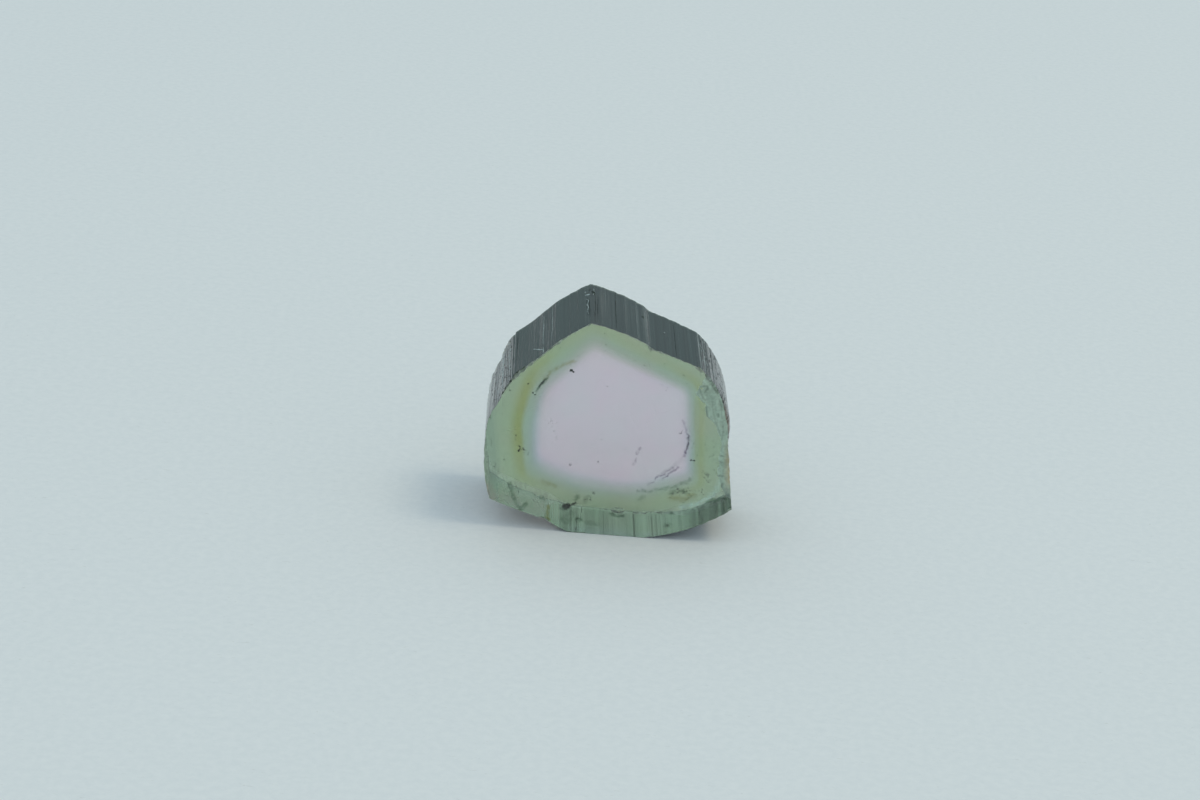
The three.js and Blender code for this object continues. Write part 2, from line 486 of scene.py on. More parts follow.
def makePolishGroup():
    # fine scratches in two directions and small pits left by the lap
    group, sheet, given, result = newGroup(
        "polishMarks",
        {"Scratches": 0.5, "Pits": 0.5},
        {"Height": "Float", "Haze": "Float"},
    )
    inMm = sheet.inMillimetres()
    scratches = None
    for angle in (24.0, -61.0):
        values = {"Vector": inMm, "Angle": math.radians(angle)}
        turned = sheet.add("ShaderNodeVectorRotate", values, rotation_type="Y_AXIS").outputs[0]
        stretched = sheet.vector("MULTIPLY", turned, (0.35, 1.0, 14.0))
        lines = sheet.smooth(sheet.noise(stretched, 1.0, 3.0, 0.6), 0.62, 0.74)
        scratches = lines if scratches is None else sheet.math("MAXIMUM", scratches, lines)
    pits = sheet.add("ShaderNodeTexVoronoi", {"Vector": inMm, "Scale": 2.6}).outputs["Distance"]
    pits = sheet.math("MULTIPLY", sheet.smooth(pits, 0.10, 0.04), given["Pits"])
    marks = sheet.math("MULTIPLY_ADD", scratches, given["Scratches"], pits)
    sheet.put(result["Height"], sheet.math("MULTIPLY", marks, -1.0))
    sheet.put(result["Haze"], marks)
    return group


def makeGrainGroup():
    # fine unevenness of natural and broken surfaces, drawn out along the crystal by Stretch
    group, sheet, given, result = newGroup(
        "stoneGrain",
        {"Scale": 6.0, "Stretch": 1.0},
        {"Height": "Float", "Mottle": "Float"},
    )
    inMm = sheet.inMillimetres()
    along = sheet.math("DIVIDE", 1.0, given["Stretch"])
    axes = sheet.add("ShaderNodeCombineXYZ", {"X": 1.0, "Y": along, "Z": 1.0}).outputs[0]
    place = sheet.vector("MULTIPLY", inMm, axes)
    fine = sheet.noise(place, given["Scale"], 4.0, 0.6)
    broad = sheet.noise(place, sheet.math("MULTIPLY", given["Scale"], 0.22), 3.0)
    sheet.put(result["Height"], sheet.math("MULTIPLY_ADD", broad, 1.5, fine))
    sheet.put(result["Mottle"], sheet.smooth(sheet.math("ADD", fine, broad), 0.7, 1.3))
    return group


zoneGroup = makeZoneGroup(zoneShape, zoneRamp)
polishGroup = makePolishGroup()
grainGroup = makeGrainGroup()

ior = 1.63

# the two cut faces; each roughness is for the clear polish, and for where scratches and pits cross it
faceFinish = {
    "polishedFront": {"roughness": (0.02, 0.25), "depthDirection": -1.0, "scratches": 0.25, "pits": 0.3},
    "sawnBack": {"roughness": (0.10, 0.40), "depthDirection": 1.0, "scratches": 0.6, "pits": 0.5},
}
faceTransmission = 0.97

# natural walls and broken edges: how fine their grain is, how far it is drawn out along the crystal,
# its height in mm, how much it mottles the colour, the roughness, and how much light they let through
stoneFinish = {
    "prismWall": {"scale": 9.0, "stretch": 30.0, "height": 0.02, "mottle": 0.25,
                  "roughness": (0.10, 0.34), "transmission": 0.78},
    "brokenEdge": {"scale": 5.0, "stretch": 1.0, "height": 0.03, "mottle": 0.25,
                   "roughness": (0.22, 0.45), "transmission": 0.90},
    # painted shade: this finish and the last one below are dark walls that let little or half the light
    # through, which paint the shade under the crystal onto its underside
    "prismPaintedFootShade": {"scale": 3.0, "stretch": 30.0, "height": 0.01, "mottle": 0.15,
                  "roughness": (0.10, 0.34), "transmission": 0.05},
    "prismUnderside": {"scale": 0.8, "stretch": 4.0, "height": 0.004, "mottle": 0.06,
                       "roughness": (0.10, 0.55), "transmission": 0.84},
    "prismShade": {"scale": 2.0, "stretch": 8.0, "height": 0.006, "mottle": 0.10,
                   "roughness": (0.10, 0.34), "transmission": 0.45},
}


def makeFaceMaterial(name):
    look = faceFinish[name]
    material, sheet, shader = newMaterial(name)
    zones = sheet.add("ShaderNodeGroup", {}, node_tree=zoneGroup)
    zones.inputs["Depth Direction"].default_value = look["depthDirection"]
    marks = sheet.add("ShaderNodeGroup", {}, node_tree=polishGroup)
    marks.inputs["Scratches"].default_value = look["scratches"]
    marks.inputs["Pits"].default_value = look["pits"]
    sheet.put(shader.inputs["Base Color"], zones.outputs["Colour"])
    haze = sheet.smooth(marks.outputs["Haze"], 0.0, 1.0, *look["roughness"])
    sheet.put(shader.inputs["Roughness"], haze)
    shader.inputs["IOR"].default_value = ior
    shader.inputs["Transmission Weight"].default_value = faceTransmission
    sheet.put(shader.inputs["Normal"], sheet.bump(marks.outputs["Height"], 0.5, 0.01))
    return material


def makeStoneMaterial(name):
    # the main colour and haze are worked out with the shape, and read here as attributes
    look = stoneFinish[name]
    material, sheet, shader = newMaterial(name)
    tone = sheet.add("ShaderNodeAttribute", attribute_name="stoneTone").outputs["Color"]
    haze = sheet.add("ShaderNodeAttribute", attribute_name="stoneHaze").outputs["Fac"]
    grain = sheet.add("ShaderNodeGroup", {}, node_tree=grainGroup)
    grain.inputs["Scale"].default_value = look["scale"]
    grain.inputs["Stretch"].default_value = look["stretch"]
    mottle = look["mottle"]
    shade = sheet.grey(sheet.smooth(grain.outputs["Mottle"], 0.0, 1.0, 1.0 - mottle, 1.0 + mottle))
    sheet.put(shader.inputs["Base Color"], sheet.mix(1.0, tone, shade, "MULTIPLY"))
    wear = sheet.math("MULTIPLY_ADD", grain.outputs["Mottle"], 0.3, haze)
    sheet.put(shader.inputs["Roughness"], sheet.smooth(wear, 0.0, 1.2, *look["roughness"]))
    shader.inputs["IOR"].default_value = ior
    shader.inputs["Transmission Weight"].default_value = look["transmission"]
    sheet.put(shader.inputs["Normal"], sheet.bump(grain.outputs["Height"], 1.0, look["height"]))
    return material


def makeFlawMaterial(name, look):
    # specks, cracks and veils inside the crystal, patchy where the opacity varies
    material, sheet, shader = newMaterial(name)
    inMm = sheet.inMillimetres()
    patches = sheet.noise(inMm, look["patch"], 3.0, 0.6)
    colour = sheet.mix(sheet.smooth(patches, 0.35, 0.65), look["dark"], look["light"])
    sheet.put(shader.inputs["Base Color"], colour)
    sheet.put(shader.inputs["Roughness"], sheet.smooth(patches, 0.3, 0.7, 0.45, 0.75))
    shader.inputs["Specular IOR Level"].default_value = 0.1
    ragged = sheet.noise(inMm, look["patch"] * 1.7, 3.0, 0.7)
    alpha = sheet.smooth(ragged, 0.36, 0.58, *look["opacity"])
    if look["soft"]:
        # rounded bodies fade out towards their sides
        facing = sheet.add("ShaderNodeLayerWeight", {"Blend": 0.5}).outputs["Facing"]
        alpha = sheet.math("MULTIPLY", alpha, sheet.smooth(facing, 0.95, 0.25))
    sheet.put(shader.inputs["Alpha"], alpha)
    return material


print("shader groups made")


# where each set of random values starts
seeds = {
    "ribs": 10,
    "laterRibs": 20,
    "ribChange": 30,
    "breakEdge": 41,
    "breakHollows": 50,
    "breakTones": (61, 62),
    "chipTones": 63,
    "faceRust": 64,
    "darkChips": 65,
    "chipFloors": 70,
    "streaks": 80,
    "streakEnds": 90,
    "footStreaks": 97,
    "wallRust": 98,
    "specks": 100,
    "hazeStreaks": (110, 111),
    "heel": 112,
    "sides": 121,
    "marks": 200,
    "dust": 300,
    "needles": 500,
    "trails": 1000,
    "grit": 2000,
}

fieldCells = 64  # how many cells the field below has each way before it repeats


def fieldNoise(first, second, cell, seed):
    # smooth random values over a plane
    values = np.random.default_rng(seed).uniform(-1, 1, (fieldCells, fieldCells))
    across, up = first / cell, second / cell
    column, row = np.floor(across).astype(int), np.floor(up).astype(int)
    across, up = across - column, up - row
    across = across * across * (3 - 2 * across)
    up = up * up * (3 - 2 * up)
    corner = [
        [values[(column + right) % fieldCells, (row + above) % fieldCells] for above in (0, 1)]
        for right in (0, 1)
    ]
    near = corner[0][0] * (1 - across) + corner[1][0] * across
    far = corner[0][1] * (1 - across) + corner[1][1] * across
    return near * (1 - up) + far * up


def roundPath(points, rounds=3):
    # cuts the corners of a path a few times, which leaves it smooth
    points = np.asarray(points, dtype=float)
    for _ in range(rounds):
        near, far = points[:-1], points[1:]
        cut = np.stack([near * 0.75 + far * 0.25, near * 0.25 + far * 0.75], axis=1)
        points = np.vstack([points[:1], cut.reshape(-1, points.shape[1]), points[-1:]])
    return points


def evenPath(points, spacing):
    # the rounded path in even steps, with the share of its length at each
    points = roundPath(points)
    travelled = np.concatenate([[0.0], np.cumsum(np.linalg.norm(np.diff(points, axis=0), axis=1))])
    share = np.linspace(0, 1, max(6, round(travelled[-1] / spacing)))
    even = [np.interp(share * travelled[-1], travelled, along) for along in points.T]
    return np.stack(even, axis=1), share


def nearPath(points, path, width):
    # 1 on the path, falling to 0 at the given distance from it
    nearest = np.full(len(points), 9.0)
    path = roundPath(path, 2)
    for start, end in zip(path, path[1:]):
        along = end - start
        share = np.clip((points - start) @ along / max(along @ along, 1e-9), 0, 1)
        nearest = np.minimum(nearest, np.hypot(*(points - start - share[:, None] * along).T))
    return np.clip(1 - nearest / width, 0, 1)


def mixColours(first, second, share):
    share = np.asarray(share)[..., None]
    return np.asarray(first) * (1 - share) + np.asarray(second) * share


def makePiece(name, vertices, faces, materials, slots=None, sharpAngle=None):
    mesh = bpy.data.meshes.new(name)
    mesh.from_pydata((np.asarray(vertices) * mm).tolist(), [], faces)
    for material in materials:
        mesh.materials.append(material)
    if slots is not None:
        mesh.polygons.foreach_set("material_index", np.array(slots, dtype=np.int32))
    mesh.polygons.foreach_set("use_smooth", np.ones(len(faces), dtype=bool))
    mesh.update()
    if sharpAngle:
        mesh.set_sharp_from_angle(angle=math.radians(sharpAngle))
    piece = bpy.data.objects.new(name, mesh)
    bpy.context.scene.collection.objects.link(piece)
    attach(piece, "root")
    return piece


sliceShape = {
    "pointsAround": 1400,
    # stretches of the roof that have no broad ribs: x of the middle and half width
    "plainRoof": [(-6.75, 0.85), (-5.30, 0.55)],
    "plainWindow": 18,  # outline steps each way that they are evened out over
    "wallRings": 46,
    "bevel": 0.02,
    "brokenFrom": 0.006,  # a face that lies deeper than this is broken and not polished
    "sharpAngle": 32.0,
    # width of a rib in mm, its height on the roof and on the cheeks, and how step-like it is
    "ribs": [
        (1.3, 0.020, 0.020, 1.0),
        (0.42, 0.012, 0.025, 2.5),
        (0.15, 0.006, 0.024, 2.0),
        (0.07, 0.003, 0.008, 1.0),
    ],
    # the walls turn from roof to cheek as their upward facing falls between these
    "cheekStart": (0.66, 0.58),
    # where the walls draw in, or swell if below 0: x and z of the middle, half length,
    # and how far at the front edge and at the back
    "tapers": [
        (-9.10, 8.90, 2.6, 0.00, 0.14), (8.40, 10.00, 3.4, 0.22, 0.00),
        (-6.90, 13.20, 1.5, 0.00, 0.10), (-8.10, 11.60, 0.8, 0.00, -0.06),
        (-6.20, 1.50, 3.9, 0.00, -0.44), (-4.40, 0.75, 1.3, 0.00, -0.24),
        (6.80, 1.20, 3.6, 0.00, -0.36), (8.60, 2.60, 1.6, 0.00, -0.20),
    ],
    # the same, but evenly from front to back
    "insets": [(9.00, 7.80, 2.4, 0.13), (-8.68, 10.00, 0.9, 0.07)],
    "frontTaper": 0.15,  # share of the depth that the drawing in at the front edge takes
    # the ribs weaken between the two x of the roof, down to this strength; streaks likewise further left
    "calmRoof": (-3.4, -4.2, 0.15),
    "calmStreaks": (-4.4, -5.2, 0.20),
    # the upper walls stand out by this much, so that the ribs lie evenly about their outline
    "swell": 0.04,
    "undersideRibs": (0.06, 0.6),  # how strong they are on the underside, left and right
    "restFacet": (0.05, 0.1),  # walls below this height keep only this share of their ribs
    "meshSteps": [(0.065, 0.42), (0.17, 1.0), (0.5, 99.0)],  # point spacing up to this far from the rim
}


class Outline:
    # the prism's outline in even steps, from the points just behind the front chamfer
    def __init__(self, node, count):
        points = np.array([vertex.co for vertex in node.data.vertices]) / mm
        behind = points[(points[:, 1] > low.y + 0.03) & (points[:, 1] < low.y + 0.2)]
        flat = np.unique(np.round(behind[:, [0, 2]], 4), axis=0)
        middle = flat.mean(axis=0)
        angles = np.arctan2(flat[:, 1] - middle[1], flat[:, 0] - middle[0])
        loop = flat[np.argsort(angles)]
        closed = np.vstack([loop, loop[:1]])
        travelled = np.concatenate([[0.0], np.cumsum(np.hypot(*np.diff(closed, axis=0).T))])
        self.around = travelled[-1]
        self.steps = np.arange(count) * self.around / count
        even = [np.interp(self.steps, travelled, closed[:, axis]) for axis in (0, 1)]
        self.points = np.stack(even, axis=1)
        self.evenOut(sliceShape["plainRoof"], sliceShape["plainWindow"])
        tangent = np.roll(self.points, -3, axis=0) - np.roll(self.points, 3, axis=0)
        tangent /= np.hypot(*tangent.T)[:, None]
        self.outward = np.stack([tangent[:, 1], -tangent[:, 0]], axis=1)
        self.finder = KDTree(count)
        for index, (x, z) in enumerate(self.points):
            self.finder.insert((x, z, 0.0), index)
        self.finder.balance()

    def evenOut(self, stretches, window):
        shifted = [np.roll(self.points, step, axis=0) for step in range(-window, window + 1)]
        evened = np.mean(shifted, axis=0)
        x, z = self.points.T
        share = np.zeros(len(x))
        for middle, halfWidth in stretches:
            within = np.clip(2 - 2 * np.abs(x - middle) / halfWidth, 0, 1)
            share = np.maximum(share, within * (z > 8))
        self.points = self.points + (evened - self.points) * share[:, None]

    def nearest(self, points):
        # for each point, the nearest outline step and how far inside it lies
        found = [self.finder.find((x, z, 0.0))[1:] for x, z in points]
        index = np.array([item[0] for item in found])
        inside = -np.einsum("ij,ij->i", points - self.points[index], self.outward[index])
        return index, np.sign(inside) * np.array([item[1] for item in found])

    def stepOf(self, x, z):
        return self.steps[self.finder.find((x, z, 0.0))[1]]

    def between(self, first, second):
        # distance along the outline, the short way round
        gap = np.abs(first - second)
        return np.minimum(gap, self.around - gap)

    def wander(self, cell, seed, sharpness=1.0, steps=None):
        # smooth random values along the outline, a new one every cell; a high sharpness makes steps of them
        count = max(4, round(self.around / cell))
        values = np.random.default_rng(seed).uniform(-1, 1, count)
        place = (self.steps if steps is None else steps) / self.around * count
        index = np.floor(place).astype(int)
        share = np.clip((place - index - 0.5) * sharpness + 0.5, 0, 1)
        share = share * share * (3 - 2 * share)
        return values[index % count] * (1 - share) + values[(index + 1) % count] * share


outline = Outline(sliceNode, sliceShape["pointsAround"])


def readBackPlane(node):
    # the sawn back face as y = start + slope * x, no further back than the CAD
    points = np.array([vertex.co for vertex in node.data.vertices]) / mm
    behind = points[points[:, 1] > high.y - 2.4]
    rear = []
    for left in np.linspace(low.x, high.x, 24)[1:-1]:
        near = behind[abs(behind[:, 0] - left) < 0.6]
        if len(near):
            rear.append(near[np.argmax(near[:, 1])][:2])
    slope, start = np.polyfit(*np.array(rear).T, 1)
    overshoot = (start + slope * outline.points[:, 0]).max() - high.y
    return start - max(0.0, overshoot), slope


backStart, backSlope = readBackPlane(sliceNode)

frontWear = {
    "seed": 5,
    "chips": 110,
    "width": (0.05, 0.24),  # half width along the edge
    "depth": (0.015, 0.06),
    "reach": (0.03, 0.10),  # how far a chip runs in over the polished face
    # larger chips: x, z, half width, depth, reach
    "placed": [
        (-7.60, 12.35, 0.42, 0.16, 0.20),
        (-7.05, 12.75, 0.30, 0.12, 0.16),
        (-6.45, 13.25, 0.22, 0.10, 0.12),
        (-8.52, 10.45, 0.20, 0.07, 0.07),
        (-8.36, 10.82, 0.22, 0.08, 0.09),
        (-8.20, 11.15, 0.22, 0.09, 0.10),
        (-8.07, 11.40, 0.24, 0.10, 0.12),
        (-7.90, 11.75, 0.24, 0.11, 0.12),
        (-4.60, 15.15, 0.25, 0.08, 0.12),
        (2.20, 15.18, 0.30, 0.10, 0.14),
        (2.95, 14.95, 0.18, 0.06, 0.08),
        (5.95, 13.90, 0.40, 0.14, 0.16),
        (6.70, 13.25, 0.45, 0.18, 0.18),
        (7.35, 12.30, 0.40, 0.16, 0.20),
        (-4.62, 0.84, 0.35, 0.10, 0.14),
        (9.30, 2.80, 0.30, 0.12, 0.16),
    ],
}

backWear = {
    "seed": 9,
    "chips": 150,
    "width": (0.06, 0.35),
    "depth": (0.015, 0.09),
    "reach": (0.03, 0.14),
    "placed": [
        (-2.42, 16.80, 0.30, 0.12, 0.16),
        (8.40, 9.30, 0.50, 0.16, 0.22),
        (-9.30, 7.20, 0.45, 0.14, 0.20),
        (1.20, 0.00, 0.50, 0.16, 0.22),
    ],
}

breakZone = {
    # the broken right edge: height z, how far it reaches in over the face, and how deep it is at the rim
    "zone": [
        (13.4, 0.00, 0.00),
        (12.8, 0.85, 0.12),
        (12.0, 1.45, 0.22),
        (11.0, 1.60, 0.28),
        (10.0, 1.50, 0.32),
        (9.1, 1.20, 0.32),
        (8.4, 0.85, 0.26),
        (7.4, 0.80, 0.22),
        (6.2, 1.00, 0.20),
        (5.6, 1.10, 0.20),
        (4.8, 0.75, 0.18),
        (4.0, 0.45, 0.12),
        (3.6, 0.00, 0.00),
    ],
    "lip": 0.005,  # the small step at its inner edge
    "roughness": [(0.8, 0.045), (0.30, 0.020), (0.14, 0.008)],  # size of a hollow, and its depth
    # dark cracks and bruises in it: half width, strength, and x and z along each
    "marks": [
        (0.11, 0.85, [(6.68, 10.91), (6.80, 10.25), (7.02, 9.59), (7.45, 8.95), (7.87, 8.42)]),
        (0.10, 0.80, [(6.10, 12.50), (6.70, 12.58), (6.46, 12.05)]),
        (0.13, 0.90, [(6.60, 12.50), (6.66, 12.30)]),
        (0.09, 0.60, [(6.05, 12.30), (6.28, 11.77), (6.52, 11.46)]),
        (0.14, 0.95, [(7.62, 10.38), (7.66, 10.22)]),
        (0.08, 0.55, [(7.55, 11.60), (7.80, 11.00), (7.92, 10.10)]),
        (0.08, 0.55, [(7.95, 11.40), (8.20, 10.20)]),
        (0.08, 0.45, [(7.08, 11.40), (7.20, 10.60), (7.55, 9.60)]),
        (0.09, 0.60, [(7.54, 9.75), (7.94, 8.80)]),
        (0.08, 0.50, [(8.05, 9.60), (8.15, 8.90), (8.05, 8.30)]),
        (0.08, 0.40, [(6.95, 12.60), (7.40, 11.90)]),
        (0.10, 0.70, [(8.15, 7.12), (8.42, 7.06)]),
        (0.10, 0.65, [(8.05, 6.65), (8.30, 6.58)]),
        (0.10, 0.75, [(7.95, 5.56), (8.50, 5.48)]),
        (0.16, 0.70, [(8.50, 4.85), (8.45, 4.40), (8.60, 4.05)]),
        (0.12, 0.80, [(8.05, 3.62), (8.50, 3.60), (9.05, 3.62)]),
    ],
}


def makeChips(wear):
    # each chip as its step on the outline, half width, depth and reach
    chance = np.random.default_rng(wear["seed"])
    count = wear["chips"]
    small = [chance.uniform(0, outline.around, count)]
    small += [chance.uniform(*wear[key], count) for key in ("width", "depth", "reach")]
    small[2] *= chance.uniform(0.3, 1.0, count)
    placed = [(outline.stepOf(x, z), *size) for x, z, *size in wear["placed"]]
    return np.vstack([np.stack(small, axis=1), placed])


def chipDepth(chips, steps, inside):
    # how deep the chipped edge lies at points this far along and inside the outline
    depth = np.zeros(len(steps))
    uneven = 1 + 0.35 * outline.wander(0.12, seeds["chipFloors"], steps=steps)
    for step, halfWidth, deep, reach in chips:
        across = outline.between(steps, step) / halfWidth
        scoop = 1 - across ** 2 - (inside / reach) ** 2
        depth = np.maximum(depth, deep * np.sqrt(np.clip(scoop, 0, 1)) * uneven)
    return depth


def breakReach(points):
    # how far in the break reaches, and how deep it is at the rim
    zone = np.array(breakZone["zone"])[::-1]
    reach = np.interp(points[:, 1], zone[:, 0], zone[:, 1]) * (points[:, 0] > 0)
    return reach, np.interp(points[:, 1], zone[:, 0], zone[:, 2])


def breakMarks(points):
    # how strongly each point of the break is cracked or bruised
    marked = np.zeros(len(points))
    for halfWidth, strength, path in breakZone["marks"]:
        marked = np.maximum(marked, strength * nearPath(points, path, halfWidth) ** 0.7)
    return marked


def breakDepth(points, inside):
    reach, rimDepth = breakReach(points)
    reach = reach * (1 + 0.14 * fieldNoise(points[:, 0], points[:, 1], 0.5, seeds["breakEdge"]))
    share = np.clip(1 - inside / np.maximum(reach, 1e-6), 0, 1)
    depth = rimDepth * share ** 1.5 + breakZone["lip"] * np.clip(share * 5, 0, 1)
    for layer, (cell, height) in enumerate(breakZone["roughness"]):
        across = points[:, 0] + 0.35 * points[:, 1]
        ripple = fieldNoise(across, points[:, 1] * 0.35, cell, seeds["breakHollows"] + layer)
        depth += height * ripple * np.clip(share * 4, 0, 1) * np.clip(rimDepth * 6, 0, 1)
    depth += 0.03 * breakMarks(points)
    return np.where(share > 0, np.maximum(depth, 0.004), 0.0)


def facePlaces(extraFine):
    # points over the face, closest together near the rim and where extraFine says
    places = []
    nearer = -1.0
    for spacing, limit in sliceShape["meshSteps"]:
        columns = np.arange(low.x, high.x, spacing)
        rows = np.arange(low.z, high.z, spacing * 0.866)
        x, z = np.meshgrid(columns, rows)
        x = x + (np.arange(len(rows)) % 2)[:, None] * spacing / 2
        chance = np.random.default_rng(round(spacing * 1000))
        jitter = chance.uniform(-0.2, 0.2, (2, *x.shape)) * spacing
        points = np.stack([(x + jitter[0]).ravel(), (z + jitter[1]).ravel()], axis=1)
        inside = outline.nearest(points)[1]
        fine = extraFine(points, inside)
        if nearer < 0:
            keep = (inside > spacing * 0.6) & ((inside < limit) | fine)
        else:
            keep = (inside >= nearer) & (inside < limit) & ~fine
        places.append(points[keep])
        nearer = limit
    return np.vstack(places)


def triangulate(rim, places):
    # triangles over the rim and the places inside it; the rim keeps its numbers 0 to len(rim) - 1
    count = len(rim)
    loop = [(index, (index + 1) % count) for index in range(count)]
    points = [Vector(point) for point in np.vstack([rim, places]).tolist()]
    flat, _, faces, originals, _, _ = delaunay_2d_cdt(points, loop, [], 1, 1e-6)
    given = [sources[0] if sources else -1 for sources in originals]
    order = sorted(range(len(flat)), key=lambda index: given[index] if given[index] >= 0 else 1e9)
    renumber = np.empty(len(flat), dtype=int)
    renumber[order] = np.arange(len(flat))
    points = np.array([flat[index] for index in order])
    return points, renumber[np.array(faces)]


def makeFace(rim, chips, extraFine, broken):
    # a chipped face: its flat points, how deep each lies, and its triangles
    points, triangles = triangulate(rim, facePlaces(extraFine))
    index, inside = outline.nearest(points)
    inside = np.maximum(inside, 0.0)
    depth = chipDepth(chips, outline.steps[index], inside)
    if broken:
        depth = np.maximum(depth, breakDepth(points, inside))
    edge = sliceShape["bevel"]
    depth = np.maximum(depth, edge * np.clip(1 - inside / edge, 0, 1))
    corners = points[triangles]
    spin = np.cross(corners[:, 1] - corners[:, 0], corners[:, 2] - corners[:, 0])
    triangles[spin < 0] = triangles[spin < 0][:, ::-1]
    return points, depth, triangles


def cheekShare():
    # 0 on the roof and 1 on the steep walls below it
    start, end = sliceShape["cheekStart"]
    steep = np.clip((start - outline.outward[:, 1]) / (start - end), 0, 1)
    return steep * np.clip((outline.points[:, 1] - 3.5) / 2.0, 0, 1)


def roofCalm(start, end, calm):
    # 1 over most of the roof, falling to calm between two x on its left
    x, z = outline.points.T
    onRoof = np.clip((start - x) / (start - end), 0, 1) * np.clip(z - 6, 0, 1) * (1 - cheekShare())
    return 1 - (1 - calm) * onRoof


def bulgeAt(x, z, halfLength):
    # 1 at this place on the outline, falling smoothly to 0 within the half length to either side
    along = outline.between(outline.steps, outline.stepOf(x, z)) / halfLength
    return np.clip(1 - along ** 2, 0, 1) ** 2


def wallRelief(depthShare):
    # how far the wall lies inside its outline: ribs that slowly change along the crystal
    total = np.zeros((len(depthShare), len(outline.steps)))
    reach = 0.0
    cheek = cheekShare()
    for layer, (cell, roofHeight, cheekHeight, sharpness) in enumerate(sliceShape["ribs"]):
        first = outline.wander(cell, seeds["ribs"] + layer, sharpness)
        second = outline.wander(cell, seeds["laterRibs"] + layer, sharpness)
        swap = 0.5 + 0.5 * outline.wander(0.9, seeds["ribChange"] + layer)
        blend = np.clip(depthShare[:, None] * 0.8 + swap[None] * 0.6 - 0.3, 0, 1)
        height = roofHeight + (cheekHeight - roofHeight) * cheek
        total += height * (first[None] * (1 - blend) + second[None] * blend)
        reach = reach + height
    x, z = outline.points.T
    left, right = sliceShape["undersideRibs"]
    lower = left + (right - left) * np.clip((x - 1.0) / 2.0, 0, 1)
    strength = lower + (1 - lower) * np.clip((z - 3.5) / 2.0, 0, 1)
    strength = strength * roofCalm(*sliceShape["calmRoof"])
    total = (total - reach) * strength + sliceShape["swell"] * np.clip((z - 6) / 2, 0, 1)
    nearFront = np.clip(1 - depthShare / sliceShape["frontTaper"], 0, 1) ** 2
    for *place, front, back in sliceShape["tapers"]:
        total -= np.outer(front * nearFront + back * depthShare, bulgeAt(*place))
    for *place, inset in sliceShape["insets"]:
        total -= inset * bulgeAt(*place)
    lowest, kept = sliceShape["restFacet"]
    total[:, z < lowest] *= kept
    return total


